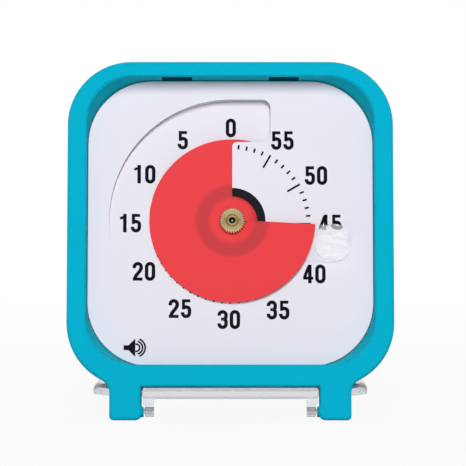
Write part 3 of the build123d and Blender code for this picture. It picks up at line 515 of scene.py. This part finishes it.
def piece(name, points, faces, material, body, smooth=30.0):
    """Object of (x, depth, height) points in mm, shaded smooth below an angle in degrees."""
    mesh = bpy.data.meshes.new(name)
    mesh.from_pydata([place(*p) for p in points], [], faces)
    built = bmesh.new()
    built.from_mesh(mesh)
    bmesh.ops.recalc_face_normals(built, faces=built.faces)
    for edge in built.edges:
        edge.smooth = len(edge.link_faces) == 2 and edge.calc_face_angle(0) < math.radians(smooth)
    for face in built.faces:
        face.smooth = True
    built.to_mesh(mesh)
    built.free()
    mesh.materials.append(material)
    made = bpy.data.objects.new(name, mesh)
    bpy.context.scene.collection.objects.link(made)
    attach(made, body)
    return made


# %% [markdown]
# ## The film
# The film is one turn of a very flat screw surface: it climbs from behind the dial, through the slit
# at 12 o'clock, to the front, and its free end lies at the time that is set. Near the spindle it is
# clamped flat, and it eases from flat to screw over the hole of the dial. A grid in radius and angle
# follows that exactly.

# %% Film
RECESS = 5.8                           # front of the case to the dial
FILM = 0.2
FILM_R = 20.45
FLAT_R = 3.6
PITCH = 2.6                            # climb in one turn
SLOT_LEVEL = 0.58                      # behind the dial face, at the slit
HUB_LEVEL = 0.25
FREE_END = -267.6                      # degrees clockwise from 12 o'clock
SLIT = 1.0                             # degrees
COLLAR_R = 1.75
FINE_RADII = (COLLAR_R, 2.6, FLAT_R, 4.1, 4.7, 5.3, 5.8, RING_IN, 6.8, 7.4, 8.2, 9.0)
OUTER_STEPS = 6                        # rows of faces outside the fine ones
CLOCK_STEPS = 240                      # faces in one turn


def clock_point(r, clock, cx=SPINDLE_X, cu=SPINDLE_U):
    """(x, height) at a radius and an angle clockwise from 12 o'clock."""
    a = math.radians(clock)
    return cx + r * math.sin(a), cu + r * math.cos(a)


def film_level(r, clock):
    """Depth of the middle of the film."""
    flat = RECESS + HUB_LEVEL
    screw = RECESS + SLOT_LEVEL + PITCH * clock / 360
    t = min(1.0, max(0.0, (r - FLAT_R) / (RING_IN - FLAT_R)))
    return flat + (screw - flat) * t


def film():
    last_fine = FINE_RADII[-1]
    radii = list(FINE_RADII)
    radii += [last_fine + (FILM_R - last_fine) * k / OUTER_STEPS for k in range(1, OUTER_STEPS + 1)]
    clocks = [FREE_END + SLIT / 2 + (360 - SLIT) * k / CLOCK_STEPS for k in range(CLOCK_STEPS + 1)]
    points, faces, distance = [], [], []
    for side in (-0.5, 0.5):
        for r in radii:
            for clock in clocks:
                x, u = clock_point(r, clock)
                points.append((x, film_level(r, clock) + side * FILM, u))
                distance.append(r)
    row, sheet_size = len(clocks), len(radii) * len(clocks)
    for i in range(len(radii) - 1):
        for k in range(row - 1):
            a = i * row + k
            faces.append((a, a + 1, a + 1 + row, a + row))
            faces.append(tuple(v + sheet_size for v in (a + row, a + 1 + row, a + 1, a)))
    rim = list(range(row)) + [i * row + row - 1 for i in range(1, len(radii))]
    rim += [sheet_size - 2 - k for k in range(row - 1)]
    rim += [i * row for i in range(len(radii) - 2, 0, -1)]
    for a, b in zip(rim, rim[1:] + rim[:1]):
        faces.append((b, a, a + sheet_size, b + sheet_size))
    made = piece("time_film", points, faces, film_red, "disc")
    attribute = made.data.attributes.new("from_spindle", "FLOAT", "POINT")
    attribute.data.foreach_set("value", distance)
    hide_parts("time_disc")
    return made


film_piece = film()
print("film faces", len(film_piece.data.polygons))

# %% [markdown]
# ## Print on the dial
# The minutes are printed in black ink: numbers every five minutes, counted anticlockwise, a long
# tick at each number and a short one at each minute. Text objects would bring a typeface, so each
# digit is drawn as a few strokes of even width with round bends, in a bold narrow style. The ink
# follows the dial, also down its ramp, a hair above the surface.

# %% Dial surface
RAMP_START = 255.0                     # degrees clockwise from 12 o'clock
RAMP_DEPTH = 2.1
RAMP_R = 30.28
POCKET_WIDTH = 9.37                    # of the pocket for the knob, to the right of the spindle
LIP_TOP = 19.7                         # its lower end, from the spindle
PRINT_U = 41.15                        # middle of the printed minutes, x is 0


def dial_depth(x, u):
    """Depth of the dial face, with the ramp left of 12 o'clock and the pocket right of it."""
    dx, du = x - SPINDLE_X, u - SPINDLE_U
    clock = math.degrees(math.atan2(dx, du)) % 360
    if clock > RAMP_START and math.hypot(dx, du) < RAMP_R:
        return RECESS + RAMP_DEPTH * (clock - RAMP_START) / (360 - RAMP_START)
    if 0 <= dx < POCKET_WIDTH and LIP_TOP < du < RAMP_R:
        return RECESS + RAMP_DEPTH
    return RECESS


# %% [markdown]
# A stroke is a thin bar along a line of points. At each point the bar's two sides are set out along
# the bisector of the bend, so that the width stays even.

# %% Strokes


def round_bend(cx, cu, rx, ru, start, end, steps=10):
    """Points of an elliptic arc, angles in degrees anticlockwise from the right."""
    angles = [math.radians(start + (end - start) * k / steps) for k in range(steps + 1)]
    return [(cx + rx * math.cos(a), cu + ru * math.sin(a)) for a in angles]


def split_long(line, closed, longest=0.7):
    """The same line with extra points on long straight runs, so that ink can follow the ramp."""
    ends = line[1:] + (line[:1] if closed else [])
    fine = []
    for (x0, u0), (x1, u1) in zip(line, ends):
        count = max(1, math.ceil(math.hypot(x1 - x0, u1 - u0) / longest))
        fine += [(x0 + (x1 - x0) * k / count, u0 + (u1 - u0) * k / count) for k in range(count)]
    return fine if closed else fine + [line[-1]]


def stroke_sides(line, width, closed):
    """The two edge points beside each point of a line."""
    sides, count = [], len(line)
    for k, (x, u) in enumerate(line):
        before = line[k - 1] if closed or k else None
        after = line[(k + 1) % count] if closed or k < count - 1 else None
        runs = []
        for p, q in ((before, (x, u)), ((x, u), after)):
            if p is not None and q is not None:
                length = math.hypot(q[0] - p[0], q[1] - p[1])
                runs.append(((q[0] - p[0]) / length, (q[1] - p[1]) / length))
        tx = sum(r[0] for r in runs) / len(runs)
        tu = sum(r[1] for r in runs) / len(runs)
        # the corner of a sharp bend reaches out at most twice as far as a straight side
        reach = width / 2 / max(0.5, math.hypot(tx, tu)) / math.hypot(tx, tu)
        sides.append(((x - tu * reach, u + tx * reach), (x + tu * reach, u - tx * reach)))
    return sides


INK = 0.02                             # mm that ink reaches into the dial; twice that stands out of it


class Ink:
    """Collects thin raised shapes that lie on the dial."""

    def __init__(self):
        self.points, self.faces = [], []

    def vertex(self, x, u, lift):
        self.points.append((x, dial_depth(x, u) - lift, u))
        return len(self.points) - 1

    def stroke(self, line, width, closed=False):
        bars = []
        for left, right in stroke_sides(split_long(line, closed), width, closed):
            bars.append([self.vertex(*left, 2 * INK), self.vertex(*right, 2 * INK),
                         self.vertex(*right, -INK), self.vertex(*left, -INK)])
        pairs = list(zip(bars, bars[1:])) + ([(bars[-1], bars[0])] if closed else [])
        for a, b in pairs:
            for k in range(4):
                j = (k + 1) % 4
                self.faces.append((a[k], a[j], b[j], b[k]))
        if not closed:
            self.faces.append(tuple(bars[0][::-1]))
            self.faces.append(tuple(bars[-1]))

    def patch(self, outline):
        top = [self.vertex(x, u, 2 * INK) for x, u in outline]
        bottom = [self.vertex(x, u, -INK) for x, u in outline]
        self.faces.append(tuple(top))
        self.faces.append(tuple(bottom[::-1]))
        for k in range(len(top)):
            j = (k + 1) % len(top)
            self.faces.append((top[k], bottom[k], bottom[j], top[j]))

    def finish(self, name):
        return piece(name, self.points, self.faces, ink_black, "body")


ink_black = plastic("ink_black", screen(22, 22, 28), 0.55, grain=0.15, bump=0.002, specular=0.02,
                    variation=0.15)

# %% [markdown]
# ## Digits
# Each digit fills a box 2.55 mm wide and 4.62 mm high. The lines below are the middles of its strokes.

# %% Digits
DIGIT_W, DIGIT_H = 2.55, 4.62
STROKE, BAR, THIN_BAR = 0.86, 0.76, 0.72   # widths of upright and round strokes, and of flat ones
FLAG = 0.64                            # width of the flag of the 1
DIGIT_STEP = 3.02                      # from one digit of a number to the next
LEFT, RIGHT_SIDE = STROKE / 2, DIGIT_W - STROKE / 2
MIDDLE = DIGIT_W / 2
BOWL = (RIGHT_SIDE - LEFT) / 2         # radius of the round ends
TOP, BOTTOM = DIGIT_H - BAR / 2, BAR / 2
UPPER, LOWER = TOP - BOWL, BOTTOM + BOWL


def digit_strokes(digit):
    """Stroke lines of a digit as (points, width, closed), in its own box."""
    over = round_bend(MIDDLE, UPPER, BOWL, BOWL, 180, 0)
    under = round_bend(MIDDLE, LOWER, BOWL, BOWL, 0, -180)
    if digit == "0":
        return [(over + under, STROKE, True)]
    if digit == "1":
        return [([(1.55, 0), (1.55, DIGIT_H)], STROKE, False),
                ([(0.34, 3.48), (1.35, 3.82)], FLAG, False)]
    if digit == "2":
        diagonal = [(RIGHT_SIDE, 3.1), (1.8, 2.4), (0.88, 1.3), (0.52, 0.55)]
        return [([(LEFT, 3.1)] + over + diagonal, STROKE, False),
                ([(0.06, BOTTOM), (2.46, BOTTOM)], BAR, False)]
    if digit == "3":
        waist = 2.4
        upper = over + [(RIGHT_SIDE - 0.02, 3.1)] + round_bend(1.35, 2.94, 0.73, 0.54, 0, -70, 5)
        lower = round_bend(1.35, 1.8, 0.75, 0.6, 70, 0, 5) + under
        return [([(LEFT, 3.26)] + upper, STROKE, False), (lower + [(LEFT, 1.4)], STROKE, False),
                ([(0.88, waist), (1.56, waist)], THIN_BAR, False)]
    if digit == "4":
        return [([(1.7, 0), (1.7, DIGIT_H)], STROKE, False),
                ([(0.04, 1.28), (2.52, 1.28)], THIN_BAR, False),
                ([(0.34, 1.42), (0.78, 2.5), (1.48, 4.3)], BAR, False)]
    belly = round_bend(MIDDLE, 1.95, BOWL, 0.76, 140, 0)
    return [([(0.3, TOP), (2.3, TOP)], BAR, False), ([(0.64, DIGIT_H), (0.64, 2.1)], BAR, False),
            (belly + under + [(LEFT, 1.4)], STROKE, False)]


# %% Numbers round the dial
NUMBER_R = 24.4
# the printer set the numbers by eye, each a little off the circle: (right, up) in mm
SET_OFF = {
    0: (0.1, 0), 5: (0.4, 0.1), 10: (-0.2, 0.37), 15: (-0.4, 0.25), 20: (-0.15, 0.4),
    25: (-0.2, 0.1), 30: (-0.4, 0.65), 35: (-0.5, -0.25), 40: (-0.5, -0.25), 45: (0.2, 0),
    50: (0, -0.1), 55: (0.65, -0.25),
}
numbers = Ink()
for minute in range(0, 60, 5):
    x, u = clock_point(NUMBER_R, -6 * minute, 0, PRINT_U)
    off_x, off_u = SET_OFF[minute]
    text = str(minute)
    left = x + off_x - ((len(text) - 1) * DIGIT_STEP + DIGIT_W) / 2
    for k, digit in enumerate(text):
        for line, width, closed in digit_strokes(digit):
            line = [(left + k * DIGIT_STEP + a, u + off_u - DIGIT_H / 2 + b) for a, b in line]
            numbers.stroke(line, width, closed)
numbers_piece = numbers.finish("minute_numbers")
print("number faces", len(numbers_piece.data.polygons))

# %% [markdown]
# ## Ticks
# Sixty ticks stand round the print's middle, which lies a little below the spindle. So the film
# hides them only partly: under the film's lower left rim their outer ends peek out as dots.

# %% Ticks
LONG_TICK = (16.2, 19.8, 0.48)         # inner and outer radius, and width
SHORT_TICK = (18.72, 19.82, 0.46)
ticks = Ink()
for minute in range(60):
    inner, outer, width = SHORT_TICK if minute % 5 else LONG_TICK
    ticks.stroke([clock_point(r, -6 * minute, 0, PRINT_U) for r in (inner, outer)], width)
ticks_piece = ticks.finish("minute_ticks")
print("tick faces", len(ticks_piece.data.polygons))

# %% [markdown]
# ## Sound mark
# A small generic loudspeaker with three sound waves marks where the timer rings.

# %% Sound mark
MARK_X, MARK_U = -23.13, 10.44         # middle of the waves
BOX_LEFT, BOX_RIGHT, CONE_RIGHT = -3.05, -1.86, -0.2
BOX_HALF, CONE_HALF = 0.6, 2.26        # half heights
WAVES = ((0.9, 100), (1.6, 76), (2.25, 68))    # (radius, degrees each way from the right)
WAVE_WIDTH = 0.42
mark = Ink()
mark.patch([(MARK_X + a, MARK_U + b) for a, b in (
    (BOX_LEFT, -BOX_HALF), (BOX_RIGHT, -BOX_HALF), (CONE_RIGHT, -CONE_HALF), (CONE_RIGHT, CONE_HALF),
    (BOX_RIGHT, BOX_HALF), (BOX_LEFT, BOX_HALF))])
for r, half_angle in WAVES:
    mark.stroke(round_bend(MARK_X, MARK_U, r, r, -half_angle, half_angle, 16), WAVE_WIDTH)
mark_piece = mark.finish("sound_mark")
print("sound mark faces", len(mark_piece.data.polygons))

# %% [markdown]
# ## Painted shade along the seams of the dial
# The dial is a separate moulding, so a fine gap runs round it where it meets the wall of the
# opening, and the edge of its ramp throws a thin shadow. Both could be left to the shadow between
# two solids, but they are finer than a shadow can show, so both are painted as thin dark strips.

# %% Strip along a line


def strip(name, edge, other, material):
    """Thin flat strip on the dial between two lines of (x, height) points."""
    points, count = [], len(edge)
    for depth in (RECESS - 2 * INK, RECESS):
        points += [(x, depth, u) for x, u in edge + other]
    faces = []
    for k in range(count - 1):
        corners = (k, k + 1, count + k + 1, count + k)
        faces.append(corners)
        faces.append(tuple(2 * count + c for c in corners[::-1]))
        faces.append((k + 1, k, 2 * count + k, 2 * count + k + 1))
        faces.append((count + k, count + k + 1, 3 * count + k + 1, 3 * count + k))
    for a, b in ((0, count), (2 * count - 1, count - 1)):
        faces.append((a, b, b + 2 * count, a + 2 * count))
    return piece(name, points, faces, material, "body")


def rounded_outline(half_x, half_u, radius, steps=12):
    """Closed line of a rounded rectangle round the middle of the opening, the first point repeated."""
    line = []
    for corner, (sx, su) in enumerate(((1, 1), (-1, 1), (-1, -1), (1, -1))):
        line += round_bend(sx * (half_x - radius), OPENING_U + su * (half_u - radius), radius, radius,
                           90 * corner, 90 * corner + 90, steps)
    return line + line[:1]


# %% Painted shade in the gap round the dial
GAP_WIDTH = 0.18
OPENING_HALF_X, OPENING_HALF_U, DIAL_CORNER_R = 35.3, 35.7, 16.0
# painted shade: the shade in the gap between dial and wall, as a thin dark teal strip
gap_painted_shade = plastic("gap_painted_shade", screen(0, 90, 104), 0.7, bump=0.0, specular=0.0)
outer = rounded_outline(OPENING_HALF_X, OPENING_HALF_U, DIAL_CORNER_R)
inner = rounded_outline(OPENING_HALF_X - GAP_WIDTH, OPENING_HALF_U - GAP_WIDTH,
                        DIAL_CORNER_R - GAP_WIDTH)
gap_piece = strip("dial_gap_shade", outer, inner, gap_painted_shade)
print("gap faces", len(gap_piece.data.polygons))

# %% Painted shadow along the ramp
# painted shadow: the shade of the ramp's downward-facing wall, as a thin dark grey strip
ramp_painted_shadow = plastic("ramp_painted_shadow", screen(66, 63, 74), 0.7, bump=0.0, specular=0.02)
# clock angle and width in mm of the painted shadow: it fades out where the ramp comes up to the dial
RAMP_SHADOW_LINE = ((262, 0.02), (276, 0.05), (285, 0.09), (295, 0.12), (305, 0.15), (325, 0.15),
             (345, 0.1), (360, 0.07))
POCKET_CORNER_R = 2.0
LINE_STOP = 1.0                        # the line ends this far above the lower end of the pocket


def line_width(clock):
    """Width of the painted shadow line at a clock angle."""
    for (low, narrow), (high, wide) in zip(RAMP_SHADOW_LINE, RAMP_SHADOW_LINE[1:]):
        if clock <= high:
            return narrow + (wide - narrow) * (clock - low) / (high - low)
    return RAMP_SHADOW_LINE[-1][1]


near_edge, far_edge = [], []
for clock in range(RAMP_SHADOW_LINE[0][0], 361):
    near_edge.append(clock_point(RAMP_R, clock))
    far_edge.append(clock_point(RAMP_R + line_width(clock), clock))
corner_x = SPINDLE_X + POCKET_WIDTH - POCKET_CORNER_R
corner_u = SPINDLE_U + RAMP_R - POCKET_CORNER_R
for width, line in ((0.0, near_edge), (RAMP_SHADOW_LINE[-1][1], far_edge)):
    radius = POCKET_CORNER_R + width
    line += round_bend(corner_x, corner_u, radius, radius, 90, 0)
    line.append((corner_x + POCKET_CORNER_R + width / 2, SPINDLE_U + LIP_TOP + LINE_STOP))
edge_piece = strip("ramp_edge_shadow", near_edge, far_edge, ramp_painted_shadow)
print("ramp edge faces", len(edge_piece.data.polygons))

# %% [markdown]
# ## Knurled nut
# The nut is turned from brass: a knurled rim, a flat face, a dished recess and a raised bead round
# the bore. It could be a plain lathed ring with a bump, but the knurl shows in its outline, so each
# ring of points is pushed in between the teeth.

# %% Knurled nut
NUT_TEETH = 30
TOOTH_STEPS = 8                        # points to each tooth
KNURL_DEPTH = 0.4
WASHER, NUT_HEIGHT = 0.3, 1.2
NUT_FRONT = RECESS + HUB_LEVEL - FILM / 2 - WASHER - NUT_HEIGHT
NUT_PROFILE = (                        # (radius, depth behind the face, share of the knurl)
    (0.86, 1.2, 0), (0.84, 0.36, 0), (0.88, 0.28, 0), (1.02, 0.24, 0), (1.14, 0.3, 0), (1.24, 0.56, 0),
    (1.36, 0.62, 0), (1.5, 0.5, 0), (1.8, 0.12, 0), (1.9, 0.04, 0), (2.0, 0.0, 0), (2.42, 0.0, 0),
    (2.56, 0.05, 0.1), (2.96, 0.3, 0.6), (3.2, 0.46, 1), (3.28, 0.56, 1), (3.28, 1.02, 1),
    (3.18, 1.16, 0.9), (2.98, 1.2, 0.6),
)


def knurled_nut():
    points, faces = [], []
    around = NUT_TEETH * TOOTH_STEPS
    for r, depth, knurl in NUT_PROFILE:
        for k in range(around):
            wave = 0.5 - 0.5 * math.cos(2 * math.pi * k / TOOTH_STEPS)
            cut = KNURL_DEPTH * knurl * (1 - wave ** 0.5)
            x, u = clock_point(r - cut, 360 * k / around)
            points.append((x, NUT_FRONT + depth, u))
    rings = len(NUT_PROFILE)
    for i in range(rings):
        j = (i + 1) % rings
        for k in range(around):
            m = (k + 1) % around
            faces.append((i * around + k, i * around + m, j * around + m, j * around + k))
    made = piece("brass_nut", points, faces, brass, "disc", smooth=50.0)
    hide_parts("knurled_nut")
    return made


nut_piece = knurled_nut()
print("nut faces", len(nut_piece.data.polygons))


# %% Pivot in the hole of the nut
PIVOT_PROFILE = (                      # (radius, depth behind its tip)
    (0.01, 0.0), (0.14, 0.02), (0.25, 0.1), (0.32, 0.24), (0.32, 1.3), (0.01, 1.3),
)
PIVOT_FRONT = 5.3                      # behind the front of the case
PIVOT_STEPS = 20


def spindle_pivot():
    """The bright tip of the spindle, a small round pin."""
    around, points, faces = PIVOT_STEPS, [], []
    for r, depth in PIVOT_PROFILE:
        for k in range(around):
            x, u = clock_point(r, 360 * k / around)
            points.append((x, PIVOT_FRONT + depth, u))
    rings = len(PIVOT_PROFILE)
    for i in range(rings - 1):
        for k in range(around):
            m = (k + 1) % around
            faces.append((i * around + k, i * around + m, (i + 1) * around + m, (i + 1) * around + k))
    faces.append(tuple(range(around)))
    faces.append(tuple(range((rings - 1) * around, rings * around)))
    return piece("spindle_pivot", points, faces, steel, "spindle", smooth=50.0)


pivot_piece = spindle_pivot()
print("pivot faces", len(pivot_piece.data.polygons))

# %% [markdown]
# ## Floor, light and surroundings
# A plain white table with soft studio light from above and in front, and weaker light from behind and
# from both sides. Seen directly or through clear plastic, the table and the world look plain white.
# For all other light they stay at a plain level, so colours come out as written, and metal mirrors a
# studio that is dim in front and bright above and behind. The table keeps a faint shadow near the
# case.

# %% What the eye sees


def seen_by_eye(tree, mirrors=False):
    """1 for what the camera sees, also through glass or in a mirror, 0 for light on other surfaces."""
    path = add(tree, "LightPath")
    # straight: the ray hasn't met a plain surface yet
    straight = calculate(tree, "LESS_THAN", path.outputs["Diffuse Depth"], 0.5)
    ray = path.outputs["Is Transmission Ray"]
    if mirrors:
        ray = calculate(tree, "MAXIMUM", ray, path.outputs["Is Glossy Ray"])
    through = calculate(tree, "MULTIPLY", ray, straight)
    return calculate(tree, "MAXIMUM", path.outputs["Is Camera Ray"], through)


# %% Floor
FLOOR_SIDE = 6.0                       # metres
FADE_START, FADE_END = 0.04, 0.35      # metres from the middle, where the shadow fades out
NEAR_WHITE = 0.92                      # share of plain white near the case; the rest is shaded
floor_mesh = bpy.data.meshes.new("floor")
half_side = FLOOR_SIDE / 2
floor_mesh.from_pydata([(-half_side, -half_side, 0), (half_side, -half_side, 0),
                        (half_side, half_side, 0), (-half_side, half_side, 0)], [], [(0, 1, 2, 3)])
floor = bpy.data.objects.new("floor", floor_mesh)
bpy.context.scene.collection.objects.link(floor)

floor_white, floor_tree, floor_shader = principled(
    "floor_white", Base_Color=(0.5, 0.5, 0.5, 1.0), Roughness=0.9, Specular_IOR_Level=0.1)
floor_link = floor_tree.links.new
away = add(floor_tree, "VectorMath")
away.operation = "LENGTH"
floor_place = add(floor_tree, "TexCoord")
floor_link(floor_place.outputs["Object"], away.inputs[0])
fade = add(floor_tree, "MapRange", From_Min=FADE_START, From_Max=FADE_END, To_Min=NEAR_WHITE)
floor_link(away.outputs["Value"], fade.inputs["Value"])
whiten = calculate(floor_tree, "MULTIPLY", seen_by_eye(floor_tree, mirrors=True),
                   fade.outputs["Result"])
glow = add(floor_tree, "Emission", Color=(1, 1, 1, 1), Strength=1.0)
floor_mix = add(floor_tree, "MixShader")
floor_link(whiten, floor_mix.inputs["Fac"])
floor_link(floor_shader.outputs[0], floor_mix.inputs[1])
floor_link(glow.outputs[0], floor_mix.inputs[2])
floor_link(floor_mix.outputs[0], floor_tree.nodes["Material Output"].inputs["Surface"])
floor_mesh.materials.append(floor_white)
print("floor", FLOOR_SIDE, "m wide")

# %% World
WORLD_LEVEL = 0.1
# what mirrors see: how bright the studio is in front, straight above and straight behind
FRONT_LEVEL, ABOVE_LEVEL, BEHIND_LEVEL = 0.4, 1.0, 0.9
RISE_START, RISE_END = 0.25, 0.8       # upward parts of a direction where it grows brighter
world = bpy.data.worlds.new("studio")
world.use_nodes = True
bpy.context.scene.world = world
world_tree = world.node_tree
world_link = world_tree.links.new
world_seen = seen_by_eye(world_tree)
white = add(world_tree, "Background", Color=(1, 1, 1, 1), Strength=1.0)
soft = world_tree.nodes["Background"]
soft.inputs["Color"].default_value = (0.97, 0.98, 1.0, 1.0)
soft.inputs["Strength"].default_value = WORLD_LEVEL
direction = add(world_tree, "TexCoord")
parts_of = add(world_tree, "SeparateXYZ")
world_link(direction.outputs["Generated"], parts_of.inputs[0])
upward = add(world_tree, "MapRange", From_Min=RISE_START, From_Max=RISE_END, To_Min=FRONT_LEVEL,
             To_Max=ABOVE_LEVEL)
world_link(parts_of.outputs["Z"], upward.inputs["Value"])
behind = add(world_tree, "MapRange", To_Max=BEHIND_LEVEL)
world_link(parts_of.outputs["Y"], behind.inputs["Value"])
studio = add(world_tree, "Background", Color=(1, 1, 1, 1))
world_link(calculate(world_tree, "MAXIMUM", upward.outputs["Result"], behind.outputs["Result"]),
           studio.inputs["Strength"])
mirror_mix = add(world_tree, "MixShader")
world_path = add(world_tree, "LightPath")
world_link(world_path.outputs["Is Glossy Ray"], mirror_mix.inputs["Fac"])
world_link(soft.outputs[0], mirror_mix.inputs[1])
world_link(studio.outputs[0], mirror_mix.inputs[2])
world_mix = add(world_tree, "MixShader")
world_link(world_seen, world_mix.inputs["Fac"])
world_link(mirror_mix.outputs[0], world_mix.inputs[1])
world_link(white.outputs[0], world_mix.inputs[2])
world_link(world_mix.outputs[0], world_tree.nodes["World Output"].inputs["Surface"])
print("world level", WORLD_LEVEL)


# %% Lamps


def softbox(name, position, width, height, power):
    """Area lamp that faces the middle of the case."""
    data = bpy.data.lights.new(name, "AREA")
    data.shape = "RECTANGLE"
    data.size, data.size_y = width, height
    data.energy = power
    lamp = bpy.data.objects.new(name, data)
    lamp.location = position
    lamp.rotation_mode = "QUATERNION"
    lamp.rotation_quaternion = (place(0, 0, OPENING_U) - Vector(position)).to_track_quat("-Z", "Y")
    # glass and metal show the plain bright surroundings, not the lamps themselves
    lamp.visible_transmission = False
    lamp.visible_glossy = False
    bpy.context.scene.collection.objects.link(lamp)


softbox("key", (0.0, -1.05, 0.68), 0.26, 0.62, 11.7)
softbox("front", (0.0, -1.5, 0.35), 0.25, 0.3, 1.7)
# soft light from behind and from the sides, so that no side of the case lies in the dark
softbox("back", (0.0, 1.15, 0.8), 0.8, 0.5, 7.0)
for side in (-1, 1):
    softbox("side", (side * 1.1, 0.42, 0.6), 0.4, 0.5, 4.0)
